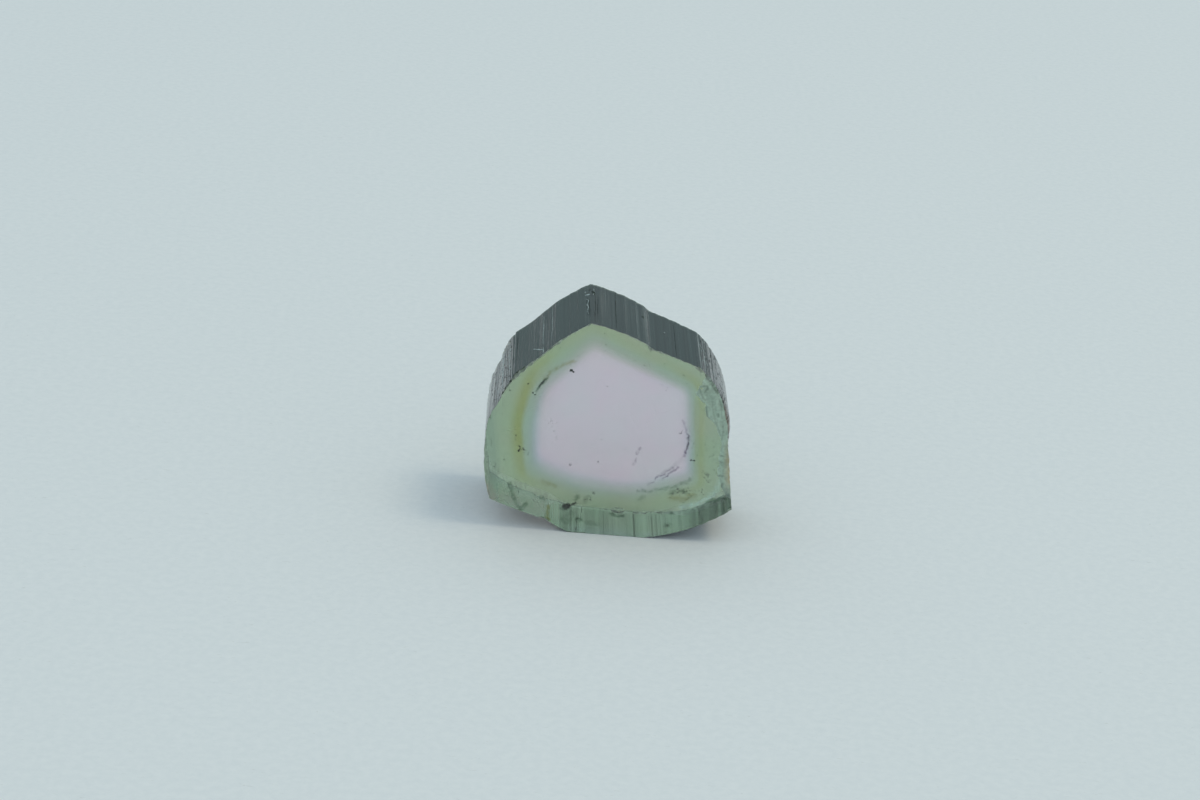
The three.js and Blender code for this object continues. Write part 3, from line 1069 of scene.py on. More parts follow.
wallLook = {
    # a wall lets light through as the square of its clearness, from 0 to 1; the low clearness colours the
    # walls dark, partly the stone's own deep green and partly painted shade of the dim floor under the
    # crystal that is seen through them
    "tint": (0.92, 1.00, 0.97),
    "clearness": 0.04,
    # bands of the upper walls: x of the middle, half width, and the clearness each adds
    "bands": [
        (-9.20, 0.08, 0.12), (-8.43, 0.07, 0.20), (-7.98, 0.06, 0.10), (-6.28, 0.10, 0.05),
        (-5.62, 0.06, 0.11), (-5.00, 0.06, 0.08), (-3.20, 0.15, 0.06), (-2.68, 0.05, 0.16),
        (-2.50, 0.08, 0.10), (-1.15, 0.45, 0.09), (0.35, 0.12, 0.10), (0.95, 0.30, 0.06),
        (1.92, 0.22, 0.18), (5.00, 0.10, 0.06), (6.05, 0.09, 0.18), (6.85, 0.30, 0.08),
        (-7.05, 0.50, -0.06), (-6.62, 0.12, -0.04), (-5.28, 0.14, -0.05), (-4.35, 0.50, -0.09),
        (4.10, 1.30, -0.03), (4.12, 0.04, -0.06),
    ],
    # width and strength of the random streaks that run along the crystal
    "streaks": [(0.30, 0.030), (0.11, 0.060), (0.05, 0.065)],
    # the lifted left underside passes warm light down to whatever it rests on
    "under": (1.00, 0.80, 0.72),
    "heelEnd": -3.3,  # it ends at this x
    # it is a rougher break: haze, more of it beyond an x on the left, and how much it varies
    "heelHaze": (0.25, -8.0, 0.65, 0.12),
    "sides": (0.68, 0.74, 0.70),  # the upright walls at the left and right
    # they darken upwards over an uneven stretch: its top, how uneven, the cell of that, and its length
    "sidesDarken": (9.6, 0.9, 0.30, 2.4),
    "leftFoot": (0.62, 0.30, 0.26),
    # painted shade: the dark colour given to the underside where the floor under it lies in shade
    "paintedFootShade": (0.04, 0.06, 0.05),
    "footStart": -3.4,  # the darker underside starts at this x
    # the bottom right corner gets painted shade too: from this x, below this height, fading over, and how
    # dark
    "corner": (8.6, 4.4, 0.8, 0.8),
    # how much painted shade the underside has at these x, from 0 to 1, and stripes added: x, half width and
    # darkness
    "footShade": [
        (-4.6, 0.0), (-4.3, 0.10), (-3.5, 0.04), (-3.2, 0.32), (-2.9, 0.52), (-1.9, 0.52),
        (-1.5, 0.30), (-1.1, 0.50), (-0.6, 0.48), (0.4, 0.46), (0.7, 0.28), (1.5, 0.26), (2.5, 0.34),
        (3.0, 0.14), (4.2, 0.18), (5.0, 0.08), (6.1, 0.10), (6.4, 0.46), (6.8, 0.80), (7.2, 0.84),
        (8.2, 0.96), (9.4, 1.0),
    ],
    "footStripes": [
        (-2.30, 0.10, -0.12), (-2.00, 0.10, 0.14), (-1.65, 0.12, -0.18), (-0.45, 0.12, -0.10),
        (0.20, 0.15, 0.16), (1.75, 0.15, 0.10), (2.37, 0.09, 0.60), (3.12, 0.12, -0.14),
        (3.72, 0.10, 0.46), (3.95, 0.08, 0.16), (4.05, 0.10, 0.14), (4.65, 0.07, 0.26),
        (5.80, 0.08, 0.20), (6.95, 0.09, -0.26), (7.32, 0.14, 0.26), (7.75, 0.12, -0.26),
        (8.22, 0.12, 0.26), (8.54, 0.10, -0.50), (8.95, 0.10, 0.08), (9.20, 0.06, -0.30),
    ],
    "footStreaks": [(0.30, 0.05), (0.12, 0.06)],  # width and strength of the random ones
    "footFade": (0.91, 0.985),  # shares of the depth between which the underside clears up
    "stain": (0.52, 0.26, 0.07),
    "rust": (6.3, 1.6, 0.46),  # height of its middle and half its length, and how far in it reaches
    "wallRust": [(6.0, 1.3, 1.0), (10.0, 1.2, 0.5)],  # on the wall: height, half length and strength
    "rustFrom": 7.0,  # rust lies to the right of this x
    "breakColours": ((0.25, 0.36, 0.31), (0.46, 0.60, 0.53)),
    "bruise": (0.05, 0.09, 0.07),
    "chipColours": ((0.05, 0.08, 0.05), (0.30, 0.36, 0.26)),
    # darker chips along the front rim: half width, strength, and x and z along each
    "darkChips": [
        (0.30, 0.98, [(-8.55, 10.30), (-8.10, 11.35), (-7.80, 12.00), (-7.60, 12.25)]),
        (0.20, 0.70, [(-7.45, 12.40), (-7.00, 12.80)]),
        (0.16, 0.60, [(-5.10, 14.60), (-4.70, 14.95)]),
        (0.20, 0.70, [(2.00, 15.35), (2.30, 15.10), (2.60, 15.00)]),
        (0.20, 0.80, [(6.05, 13.60), (6.90, 12.90), (7.40, 12.10)]),
    ],
    "darkChip": (0.020, 0.028, 0.016),
    "edge": (0.55, 0.66, 0.54),
}


def softBand(values, middle, halfWidth):
    return np.clip(1.5 - np.abs(values - middle) / halfWidth, 0, 1)


def wallClearness(depthShare):
    # how clear each point of the wall is, from 0 to 1
    x, z = outline.points.T
    upper = np.clip((z - 6.0) / 3.0, 0, 1)
    clear = np.full(len(x), wallLook["clearness"])
    for middle, halfWidth, more in wallLook["bands"]:
        clear += more * softBand(x, middle, halfWidth) * upper
    roof = (1 - cheekShare()) * roofCalm(*sliceShape["calmStreaks"])
    clear = np.tile(clear, (len(depthShare), 1))
    for layer, (cell, strength) in enumerate(wallLook["streaks"]):
        for part in range(2):
            lines = outline.wander(cell, seeds["streaks"] + 2 * layer + part, 2.0)
            start = outline.wander(cell * 3, seeds["streakEnds"] + 2 * layer + part)
            length = np.clip(1.6 - np.abs(depthShare[:, None] - 0.5 - 0.6 * start[None]) * 2.2, 0, 1)
            clear += strength * (lines * (0.4 + 0.6 * roof))[None] * length
    return np.clip(clear, 0.02, 1)


def downShare():
    # 1 where the walls face down, and 0 where they stand upright or face up
    return np.clip(-outline.outward[:, 1] * 2.5 - 0.3, 0, 1)


def wallHaze(clear):
    # clear or streaked places are rougher
    fineSeed, broadSeed = seeds["hazeStreaks"]
    streaks = 0.5 * outline.wander(0.09, fineSeed, 2.0)
    streaks = np.clip(streaks + 0.5 * outline.wander(0.35, broadSeed), 0, 1)
    roof = np.where(outline.outward[:, 1] > 0.1, 1 - cheekShare(), 0)
    roof = roof * roofCalm(*sliceShape["calmStreaks"])
    x = outline.points[:, 0]
    haze, farFrom, farMore, uneven = wallLook["heelHaze"]
    heel = downShare() * np.clip(wallLook["footStart"] - x, 0, 1)
    rough = haze + farMore * np.clip(farFrom - x, 0, 1)
    heel = heel * (rough + uneven * outline.wander(0.6, seeds["heel"]))
    return (clear * 0.8 + 0.6 * streaks[None]) * roof[None] + heel[None]


def facesDown():
    return outline.outward[:, 1] < -0.25


def paintedFootShadeAround():
    # how much painted shade the underside has around the outline
    x, z = outline.points.T
    dark = np.interp(x, *zip(*wallLook["footShade"]))
    for middle, halfWidth, more in wallLook["footStripes"]:
        dark += more * softBand(x, middle, halfWidth)
    calm = np.clip(x + 4.0, 0, 1)
    for layer, (cell, strength) in enumerate(wallLook["footStreaks"]):
        dark += strength * outline.wander(cell, seeds["footStreaks"] + layer, 2.0) * calm
    return np.clip(dark, 0, 1)


def wallSlot(ring):
    # the material of each wall face in one ring: faces of three clearnesses paint shade on the underside,
    # mixed in an even pattern wherever its tone lies between two of them
    threshold = np.arange(len(outline.points)) * 0.618 % 1
    start, end = wallLook["footFade"]
    fade = np.clip((end - ring / sliceShape["wallRings"]) / (end - start), 0, 1)
    dark = paintedFootShadeAround() * fade * 2
    level = np.floor(dark).astype(int) + (dark % 1 > threshold)
    tones = [slotNames.index(name) for name in ("prismUnderside", "prismShade", "prismPaintedFootShade")]
    return np.where(facesDown(), np.choose(level, tones), slotNames.index("prismWall")).tolist()


def wallColours(depthShare):
    x, z = outline.points.T
    clear = wallClearness(depthShare)
    # the dark wall colour is partly the stone's deep green and partly painted shade
    colours = np.array(wallLook["tint"]) * clear[..., None] ** 2
    under = downShare() * (x < wallLook["heelEnd"])
    top, uneven, cell, length = wallLook["sidesDarken"]
    darkFrom = top + uneven * outline.wander(cell, seeds["sides"])
    upright = np.clip(np.abs(outline.outward[:, 0]) * 8.0 - 7.2, 0, 1)
    upright = upright * np.clip((darkFrom - z) / length, 0, 1)
    leftFoot = np.clip(-outline.outward[:, 0] * 2.5 - 1.2, 0, 1) * np.clip(1.3 - z / 4.5, 0, 1)
    # painted shade on the underside
    dark = paintedFootShadeAround() * facesDown() * (x > wallLook["footStart"])
    # painted shade in the bottom right corner
    cornerFrom, cornerTop, cornerFade, cornerDark = wallLook["corner"]
    corner = cornerDark * np.clip((cornerTop - z) / cornerFade, 0, 1) * (x > cornerFrom)
    dark = np.maximum(dark, corner)
    for key, share in (("sides", upright), ("leftFoot", leftFoot), ("under", under), ("paintedFootShade", dark)):
        colours = mixColours(colours, wallLook[key], np.tile(share, (len(depthShare), 1)))
    rusty = sum(strength * softBand(z, middle, half) for middle, half, strength in wallLook["wallRust"])
    rusty = rusty * (x > wallLook["rustFrom"])
    rusty = rusty * (0.7 + 0.3 * outline.wander(0.25, seeds["wallRust"]))
    rusty = np.clip(1.5 - depthShare / 0.10, 0, 1)[:, None] * np.clip(rusty, 0, 1)[None]
    colours = mixColours(colours, wallLook["stain"], rusty * 0.9)
    behind = np.clip((depthShare - 0.975) / 0.015, 0, 1)
    return mixColours(colours, wallLook["edge"], np.tile(behind[:, None], (1, len(x)))), clear


def frontColours(points):
    # the break, the chips and the rust along the right edge
    inside = outline.nearest(points)[1]
    reach, _ = breakReach(points)
    across = points[:, 0] + 0.35 * points[:, 1]
    longSeed, roundSeed = seeds["breakTones"]
    mottle = 0.5 + 0.3 * fieldNoise(across, points[:, 1] * 0.3, 0.22, longSeed)
    mottle = mottle + 0.3 * fieldNoise(points[:, 0], points[:, 1], 0.5, roundSeed)
    colours = mixColours(*wallLook["breakColours"], np.clip(mottle, 0, 1))
    colours = mixColours(colours, wallLook["bruise"], breakMarks(points))
    chipMottle = fieldNoise(points[:, 0] * 1.6, points[:, 1], 0.2, seeds["chipTones"])
    chips = mixColours(*wallLook["chipColours"], np.clip(0.5 + 0.7 * chipMottle, 0, 1))
    colours = mixColours(chips, colours, np.clip((reach * 1.2 - inside) / 0.1, 0, 1) * (reach > 0))
    for halfWidth, strength, path in wallLook["darkChips"]:
        ragged = 0.6 + 0.8 * fieldNoise(points[:, 0], points[:, 1], 0.12, seeds["darkChips"])
        marked = np.clip(nearPath(points, path, halfWidth) * 2 * ragged, 0, 1)
        colours = mixColours(colours, wallLook["darkChip"], strength * marked)
    middle, halfLength, width = wallLook["rust"]
    rusty = softBand(points[:, 1], middle, halfLength) * np.clip(1.3 - inside / width, 0, 1)
    rusty = rusty * (points[:, 0] > wallLook["rustFrom"])
    rusty = rusty * (0.75 + 0.25 * fieldNoise(points[:, 0], points[:, 1], 0.2, seeds["faceRust"]))
    return mixColours(colours, wallLook["stain"], rusty)


# the crystal's material slots, in order
slotNames = [
    "polishedFront",
    "prismWall",
    "brokenEdge",
    "sawnBack",
    "prismPaintedFootShade",
    "prismUnderside",
    "prismShade",
]


def standUp(flat, depth):
    # x and z with how far back they lie, as points of the crystal
    return np.stack([flat[:, 0], depth, flat[:, 1]], axis=1)


def makeRim(relief, lowest):
    # the rim of a face: the outline with the wall's relief, drawn in by the bevel and kept inside the box
    bevel = sliceShape["bevel"]
    rim = outline.points + outline.outward * (relief - bevel)[:, None]
    return np.clip(rim, (low.x + bevel, lowest), (high.x - bevel, high.z - 2 * bevel))


def faceSlots(depth, triangles, polished):
    broken = depth[triangles].mean(axis=1) > sliceShape["brokenFrom"]
    return list(np.where(broken, slotNames.index("brokenEdge"), slotNames.index(polished)))


def addAttribute(mesh, name, kind, field, values):
    attribute = mesh.attributes.new(name, kind, "POINT")
    attribute.data.foreach_set(field, values.astype(np.float32).ravel())


def makeSlice():
    count = sliceShape["pointsAround"]
    bevel = sliceShape["bevel"]
    rings = sliceShape["wallRings"]
    depthShare = np.linspace(0, 1, rings + 1)
    relief = wallRelief(depthShare)

    def nearBreak(points, inside):
        return inside < breakReach(points)[0] * 1.15

    def nowhere(points, inside):
        return inside < 0

    frontRim = makeRim(relief[0], low.z)
    backRim = makeRim(relief[-1], low.z + bevel)
    front, frontDepth, frontFaces = makeFace(frontRim, makeChips(frontWear), nearBreak, True)
    back, backDepth, backFaces = makeFace(backRim, makeChips(backWear), nowhere, False)
    frontY = low.y + frontDepth
    backY = backStart + backSlope * back[:, 0] - backDepth
    wall = []
    for index, share in enumerate(depthShare):
        flat = outline.points + outline.outward * relief[index][:, None]
        flat = np.clip(flat, (low.x, low.z), (high.x - 0.005, high.z - 0.02))
        depth = (frontY[:count] + bevel) * (1 - share) + (backY[:count] - bevel) * share
        wall.append(standUp(flat, depth))
    vertices = np.vstack([standUp(front, frontY), *wall, standUp(back, backY)])
    wallStart = len(front)
    backFrom = wallStart + (rings + 1) * count
    # a row of four-sided faces between each ring and the next, from the front rim to the back rim
    ringStarts = [0] + [wallStart + index * count for index in range(rings + 1)] + [backFrom]
    here = np.arange(count)
    following = np.roll(here, -1)
    faces = frontFaces.tolist()
    slots = faceSlots(frontDepth, frontFaces, "polishedFront")
    for index, (near, far) in enumerate(zip(ringStarts, ringStarts[1:])):
        faces += np.stack([near + here, far + here, far + following, near + following], axis=1).tolist()
        atRim = index in (0, rings + 1)
        slots += [slotNames.index("brokenEdge")] * count if atRim else wallSlot(index)
    faces += (backFaces[:, ::-1] + backFrom).tolist()
    slots += faceSlots(backDepth, backFaces, "sawnBack")
    materials = []
    for name in slotNames:
        make = makeFaceMaterial if name in faceFinish else makeStoneMaterial
        materials.append(make(name))
    crystal = makePiece("crystal", vertices, faces, materials, slots, sliceShape["sharpAngle"])
    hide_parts("tourmaline_slice")

    wallColour, clear = wallColours(depthShare)
    backColour = np.tile(wallLook["edge"], (len(back), 1))
    colours = np.vstack([frontColours(front), wallColour.reshape(-1, 3), backColour])
    colours = np.hstack([colours, np.ones((len(colours), 1))])
    haze = np.concatenate([np.full(len(front), 0.5), wallHaze(clear).ravel(), np.full(len(back), 0.5)])
    addAttribute(crystal.data, "stoneTone", "FLOAT_COLOR", "color", colours)
    addAttribute(crystal.data, "stoneHaze", "FLOAT", "value", haze)
    return crystal, np.array(wall)


crystal, wallPlaces = makeSlice()
print("crystal made:", len(crystal.data.polygons), "faces")


# what is sealed in the crystal or lies on its walls
flawLook = {
    # size of the patches, the colours, the opacity, and whether the bodies fade out towards their sides
    "darkFlaw": {"patch": 9.0, "dark": (0.006, 0.014, 0.010, 1), "light": (0.05, 0.07, 0.045, 1),
                 "opacity": (0.7, 1.0), "soft": False},
    "greyFlaw": {"patch": 7.0, "dark": (0.05, 0.06, 0.06, 1), "light": (0.12, 0.13, 0.13, 1),
                 "opacity": (0.10, 0.32), "soft": True},
    "blot": {"patch": 3.0, "dark": (0.012, 0.030, 0.022, 1), "light": (0.05, 0.08, 0.05, 1),
             "opacity": (0.20, 0.45), "soft": True},
    "wallDarkLines": {"patch": 5.0, "dark": (0.010, 0.016, 0.014, 1), "light": (0.03, 0.04, 0.035, 1),
                 "opacity": (0.15, 0.60), "soft": False},
    "wallPaleLines": {"patch": 7.0, "dark": (0.35, 0.42, 0.42, 1), "light": (0.60, 0.68, 0.68, 1),
                    "opacity": (0.35, 0.95), "soft": False},
}

# single specks: x and z on the polished face, size, and depth behind it
specks = {
    "darkFlaw": [
        (-6.53, 11.66, 0.06, 0.1), (-6.11, 10.98, 0.08, 0.1), (-5.95, 10.84, 0.06, 0.1),
        (-3.47, 12.95, 0.14, 0.2), (-3.31, 12.86, 0.09, 0.1), (-5.40, 11.92, 0.09, 0.1),
        (-5.50, 11.80, 0.10, 0.1), (-5.58, 11.68, 0.07, 0.1), (-6.73, 6.61, 0.06, 0.1),
        (-6.80, 6.28, 0.10, 0.1), (-6.41, 6.40, 0.06, 0.2), (5.99, 6.56, 0.10, 0.1),
        (6.21, 6.56, 0.07, 0.1), (7.02, 4.04, 0.06, 0.2), (6.28, 3.66, 0.05, 0.2),
    ],
    "greyFlaw": [
        (-2.92, 5.39, 0.13, 0.4), (-0.86, 5.83, 0.10, 0.3), (-0.97, 3.28, 0.14, 0.2),
        (-1.20, 2.76, 0.10, 0.2), (7.27, 5.48, 0.18, 0.2), (4.96, 8.63, 0.10, 0.2),
        (-1.10, 15.19, 0.07, 0.1), (-1.13, 14.72, 0.08, 0.1), (-7.09, 7.47, 0.10, 0.2),
        (-6.09, 6.02, 0.08, 0.2), (0.61, 1.77, 0.10, 0.2), (1.30, 1.62, 0.10, 0.2),
        (4.76, 1.12, 0.12, 0.3), (5.00, 2.13, 0.14, 0.3), (-0.75, 7.55, 0.05, 0.6),
        (3.30, 12.30, 0.05, 0.5), (1.10, 6.90, 0.05, 0.6), (-4.60, 8.90, 0.05, 0.6),
        (-4.10, 7.60, 0.05, 0.4), (-3.70, 9.40, 0.05, 0.4), (-1.93, 1.12, 0.12, 0.3),
        (5.25, 4.11, 0.12, 0.3), (5.66, 3.98, 0.12, 0.3), (4.90, 3.71, 0.12, 0.3),
    ],
    "blot": [(-2.96, 1.99, 0.26, 0.4), (-2.74, 2.07, 0.22, 0.4)],
}

# trails of grains: size, how far they stray, how crowded they are, depth, and x and z along each
trails = {
    "darkFlaw": [
        (0.030, 0.04, 0.6, 0.10, [(-5.22, 12.15), (-5.42, 11.90), (-5.72, 11.48)]),
        (0.022, 0.05, 0.2, 0.10, [(-5.72, 11.48), (-5.95, 11.10)]),
        (0.035, 0.12, 0.4, 0.10, [(-6.85, 6.75), (-6.60, 6.30)]),
        (0.030, 0.05, 0.3, 0.10, [(5.80, 6.55), (6.35, 6.55)]),
    ],
    "greyFlaw": [
        (0.050, 0.05, 0.9, 0.20, [(5.62, 8.40), (5.66, 8.00), (5.60, 7.40), (5.50, 7.00)]),
        (0.045, 0.06, 0.9, 0.15, [(5.10, 8.85), (5.00, 8.55)]),
        (0.045, 0.16, 0.6, 0.20, [(-6.60, 6.55), (-6.10, 6.05)]),
        (0.060, 0.22, 0.7, 0.20, [(-1.42, 2.70), (-1.30, 3.00)]),
        (0.050, 0.30, 0.7, 0.20, [(6.90, 5.60), (7.50, 4.90)]),
        (0.045, 0.50, 0.3, 0.20, [(7.10, 9.40), (7.60, 7.60), (7.90, 5.60)]),
        (0.040, 0.30, 0.2, 0.30, [(-4.60, 9.20), (-4.00, 7.00)]),
        (0.060, 0.30, 0.5, 0.20, [(4.80, 3.70), (5.70, 4.00), (7.00, 4.10)]),
    ],
    "blot": [
        (0.200, 0.14, 0.7, 0.35, [(-3.20, 1.95), (-2.90, 1.98), (-2.62, 2.06)]),
        (0.080, 0.05, 1.0, 0.35, [(-2.70, 2.10), (-2.48, 2.26), (-2.22, 2.44)]),
    ],
}

# marks on the upper walls: half width in mm, and x and share of the depth along each
wallMarks = {
    "darkFlaw": [
        (0.12, [(1.62, 0.60), (1.74, 0.565)]),
        (0.075, [(-2.12, 0.745), (-2.00, 0.690)]),
        (0.10, [(-8.48, 0.014), (-8.34, 0.016)]),
        (0.12, [(-8.26, 0.016), (-8.06, 0.018)]),
        (0.16, [(-7.98, 0.020), (-7.80, 0.022)]),
        (0.14, [(-7.72, 0.030), (-7.62, 0.045)]),
        (0.12, [(-7.50, 0.020), (-7.25, 0.018)]),
        (0.10, [(-7.05, 0.014), (-6.85, 0.014)]),
        (0.09, [(7.34, 0.016), (7.52, 0.016)]),
        (0.10, [(7.90, 0.030), (8.02, 0.026)]),
    ],
    "wallDarkLines": [
        (0.04, [(-7.46, 0.30), (-7.46, 0.95)]),
        (0.09, [(-8.14, 0.05), (-8.14, 0.90)]),
        (0.05, [(-8.30, 0.20), (-8.30, 0.97)]),
        (0.06, [(-8.98, 0.10), (-8.98, 0.90)]),
        (0.05, [(-2.03, 0.05), (-2.00, 0.66)]),
        (0.04, [(-1.84, 0.08), (-1.80, 0.68)]),
        (0.045, [(-0.44, 0.04), (-0.42, 0.97)]),
        (0.035, [(4.12, 0.03), (4.12, 0.75)]),
        (0.04, [(6.28, 0.05), (6.26, 0.70)]),
        (0.04, [(6.62, 0.10), (6.60, 0.80)]),
        (0.16, [(-2.18, 0.75), (-2.08, 0.67)]),
        (0.12, [(-2.50, 0.78), (-2.30, 0.76)]),
        (0.05, [(-2.60, 0.64), (-2.56, 0.20)]),
        (0.05, [(-2.46, 0.60), (-2.42, 0.16)]),
        (0.09, [(7.44, 0.88), (7.40, 0.80)]),
        (0.09, [(6.90, 0.47), (6.84, 0.40)]),
        (0.07, [(7.12, 0.64), (7.06, 0.58)]),
    ],
    "wallPaleLines": [
        (0.065, [(-6.31, 0.275), (-5.95, 0.185), (-5.58, 0.090)]),
        (0.035, [(-5.59, 0.14), (-5.60, 0.02)]),
        (0.025, [(-5.62, 0.20), (-5.60, 0.85)]),
        (0.018, [(-5.02, 0.15), (-4.98, 0.85)]),
        (0.10, [(-2.72, 0.70), (-2.52, 0.68), (-2.38, 0.66)]),
        (0.06, [(-2.80, 0.78), (-2.62, 0.76)]),
        (0.04, [(-2.66, 0.60), (-2.46, 0.54), (-2.62, 0.47), (-2.50, 0.40), (-2.60, 0.32), (-2.52, 0.24)]),
        (0.035, [(-2.10, 0.82), (-2.08, 0.72), (-2.12, 0.66)]),
        (0.05, [(3.30, 0.485), (3.35, 0.465)]),
        (0.025, [(6.02, 0.05), (6.04, 0.90)]),
        (0.020, [(6.40, 0.05), (6.44, 0.55)]),
        (0.055, [(-8.44, 0.06), (-8.43, 0.96)]),
        (0.025, [(-7.98, 0.30), (-7.98, 0.95)]),
    ],
}

# short marks strewn over the cheeks
grit = {
    "seed": 79,
    "counts": {"wallDarkLines": 60, "wallPaleLines": 62},  # of each kind on each cheek
    "xRanges": [(6.2, 8.3), (-9.2, -7.8)],
    "halfWidth": (0.012, 0.075),
    "length": (0.004, 0.07),  # as a share of the depth
    "slant": 0.09,
}


class SmallBodies:
    # gathers small closed bodies for one joined mesh
    def __init__(self):
        self.vertices = []
        self.faces = []
        self.count = 0

    def add(self, points, faces):
        self.vertices.append(points)
        self.faces += [tuple(index + self.count for index in face) for face in faces]
        self.count += len(points)

    def addLump(self, centre, size, seed, stretch=(1.0, 1.0, 1.0)):
        chance = np.random.default_rng(seed)
        swell = np.sin(lumpPoints @ chance.uniform(-3, 3, (3, 3)) + chance.uniform(0, 6, 3)).mean(axis=1)
        shape = chance.uniform(0.6, 1.0, 3) * np.array(stretch) * size
        centre = np.array([centre[0], max(centre[1], low.y + 1.5 * size + 0.02), centre[2]])
        self.add(centre + lumpPoints * (1 + 0.5 * swell)[:, None] * shape, lumpFaces)

    def addRibbon(self, path, halfWidth, seed):
        # a thin strip with tapered, uneven sides that lies on an upper wall
        flat, share = evenPath(path, 0.06)
        middle, facing = onWall(flat)
        # past the end of the wall the places repeat; they are left out, and so is a strip wholly past it
        fresh = np.append(True, np.linalg.norm(np.diff(middle, axis=0), axis=1) > 1e-4)
        if fresh.sum() < 4:
            return
        ahead = np.gradient(middle[fresh], axis=0)
        ahead /= np.linalg.norm(ahead, axis=1)[:, None]
        chance = np.random.default_rng(seed)
        knots = np.linspace(0, 1, max(4, len(flat) // 3))
        uneven = np.interp(share, knots, chance.uniform(0.4, 1.25, len(knots)))
        width = halfWidth * np.sqrt(np.sin(np.pi * np.clip(share, 0.04, 0.96))) * uneven
        middle, facing, width = middle[fresh], facing[fresh], width[fresh]
        wide = np.cross(facing, ahead) * width[:, None]
        corners = [(1, -0.010), (1, 0.004), (0, 0.008), (-1, 0.004), (-1, -0.010)]
        rings = [middle + wide * along + facing * above for along, above in corners]
        points = np.stack(rings, axis=1).reshape(-1, 3)
        sides = len(corners)
        last = len(points) - sides
        faces = [tuple(range(sides - 1, -1, -1)), tuple(range(last, len(points)))]
        for ring in range(len(middle) - 1):
            for side in range(sides):
                near, far = ring * sides + side, ring * sides + (side + 1) % sides
                faces.append((near, far, far + sides, near + sides))
        self.add(points, faces)

    def make(self, name):
        material = makeFlawMaterial(name, flawLook[name])
        return makePiece(name + "Marks", np.vstack(self.vertices), self.faces, [material])


def makeLump():
    shape = bmesh.new()
    bmesh.ops.create_icosphere(shape, subdivisions=2, radius=1.0)
    points = np.array([vertex.co for vertex in shape.verts])
    faces = [tuple(vertex.index for vertex in face.verts) for face in shape.faces]
    shape.free()
    return points, faces


lumpPoints, lumpFaces = makeLump()


def onWall(path):
    # places on the finished upper walls and which way the walls face, from x and from y behind the front
    upper = np.nonzero(outline.points[:, 1] > 8.0)[0]
    order = upper[np.argsort(outline.points[upper, 0])]
    found = np.searchsorted(outline.points[order, 0], path[:, 0])
    column = order[np.clip(found, 0, len(order) - 1)]
    depths = wallPlaces[:, column, 1]
    rings = np.arange(len(depths))
    ring = np.array([
        np.interp(low.y + y, depths[:, index], rings) for index, y in enumerate(path[:, 1])
    ])
    near = np.clip(ring.astype(int), 0, len(depths) - 2)
    share = (ring - near)[:, None]
    places = wallPlaces[near, column] * (1 - share) + wallPlaces[near + 1, column] * share
    return places, standUp(outline.outward[column], np.zeros(len(path)))


def addTrail(bodies, size, stray, crowding, depth, path, seed):
    chance = np.random.default_rng(seed)
    flat, share = evenPath(path, 0.02)
    length = np.linalg.norm(np.diff(flat, axis=0), axis=1).sum()
    count = max(2, round(crowding * (length + 2 * stray) / size))
    for grain in range(count):
        along = (grain + chance.uniform(0.1, 0.9)) / count
        place = [np.interp(along, share, flat[:, axis]) for axis in (0, 1)]
        x, z = place + chance.normal(0, stray * 0.5, 2)
        behind = depth * chance.uniform(0.6, 1.8)
        bodies.addLump((x, low.y + behind, z), size * chance.uniform(0.5, 1.5), seed + grain)


# very small specks all through the green rim, and a few in the core
dust = {
    "seed": 77,
    "count": 90,
    "tries": 900,  # places tried, of which the first right ones are used
    "inside": (0.35, 2.8),  # how far inside the outline they lie, in mm
    "inCore": 0.12,  # chance of one further in
    "size": (0.018, 0.05),
    "clearOf": (0.5, 0.4),  # distance kept from the front and the back
}

# fine dark needles along the crystal, close under the walls
needles = {
    "seed": 78,
    "count": 40,
    "tries": 1500,
    "inside": (0.12, 0.8),
    "size": (0.010, 0.022),
    "halfLength": (0.05, 0.2),  # as a share of the depth
    "clearOf": 0.4,
}


def strewnSpots(chance, tries):
    # places over the face, and how far inside the outline they lie
    spots = np.stack([chance.uniform(low.x, high.x, tries), chance.uniform(low.z, high.z, tries)], axis=1)
    return spots, outline.nearest(spots)[1]


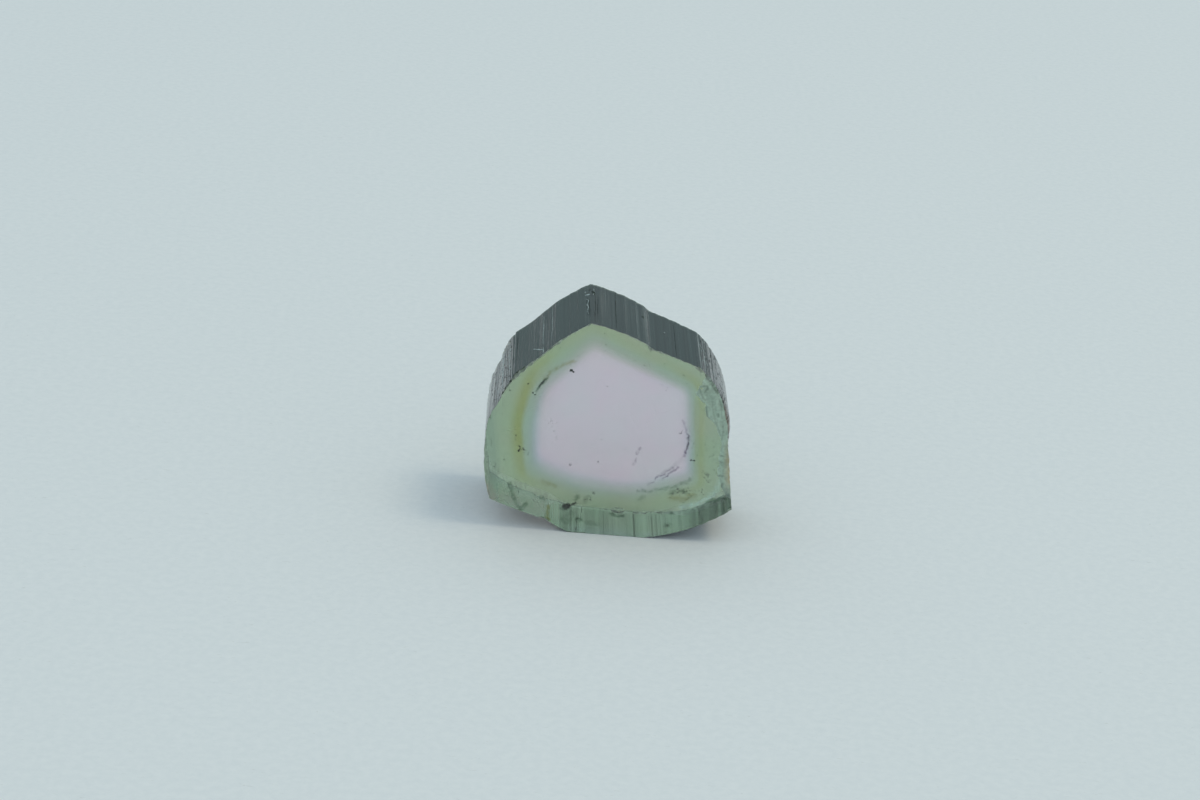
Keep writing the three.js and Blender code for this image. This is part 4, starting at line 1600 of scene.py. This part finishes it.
def addDust(bodies, look):
    chance = np.random.default_rng(look["seed"])
    spots, inside = strewnSpots(chance, look["tries"])
    near, far = look["inside"]
    wanted = (inside > near) & ((inside < far) | (chance.uniform(0, 1, len(spots)) < look["inCore"]))
    front, rear = look["clearOf"]
    for index, (x, z) in enumerate(spots[wanted][:look["count"]]):
        y = chance.uniform(low.y + front, backStart + backSlope * x - rear)
        bodies.addLump((x, y, z), chance.uniform(*look["size"]), seeds["dust"] + index)


def addNeedles(bodies, look):
    chance = np.random.default_rng(look["seed"])
    spots, inside = strewnSpots(chance, look["tries"])
    near, far = look["inside"]
    wanted = (inside > near) & (inside < far)
    front = low.y + look["clearOf"]
    for index, (x, z) in enumerate(spots[wanted][:look["count"]]):
        room = backStart + backSlope * x - low.y - 2 * look["clearOf"]
        halfLength = chance.uniform(*look["halfLength"]) * room
        y = chance.uniform(front + halfLength, front + room - halfLength)
        size = chance.uniform(*look["size"])
        bodies.addLump((x, y, z), size, seeds["needles"] + index, (1.0, halfLength / size, 1.0))


def mostlySmall(chance, smallest, largest):
    return smallest + (largest - smallest) * chance.uniform() ** 2


def addGrit(made, look):
    chance = np.random.default_rng(look["seed"])
    thickness = high.y - low.y
    for kind, count in look["counts"].items():
        for left, right in look["xRanges"]:
            for index in range(count):
                x, start = chance.uniform(left, right), chance.uniform(0.05, 0.9)
                end = start + mostlySmall(chance, *look["length"])
                slanted = x + chance.normal(0, look["slant"])
                halfWidth = mostlySmall(chance, *look["halfWidth"])
                path = [(x, start * thickness), (slanted, end * thickness)]
                made[kind].addRibbon(path, halfWidth, seeds["grit"] + index)


def makeFlaws():
    made = {name: SmallBodies() for name in flawLook}
    for name, places in specks.items():
        for index, (x, z, size, depth) in enumerate(places):
            made[name].addLump((x, low.y + depth, z), size, seeds["specks"] + index)
    for name, paths in trails.items():
        for index, trail in enumerate(paths):
            addTrail(made[name], *trail, seeds["trails"] + 100 * index)
    for name, paths in wallMarks.items():
        for index, (halfWidth, path) in enumerate(paths):
            inMm = [(x, share * (high.y - low.y)) for x, share in path]
            made[name].addRibbon(inMm, halfWidth, seeds["marks"] + index)
    addGrit(made, grit)
    addDust(made["darkFlaw"], dust)
    addNeedles(made["darkFlaw"], needles)
    for name, bodies in made.items():
        bodies.make(name)


makeFlaws()
print("flaws made")
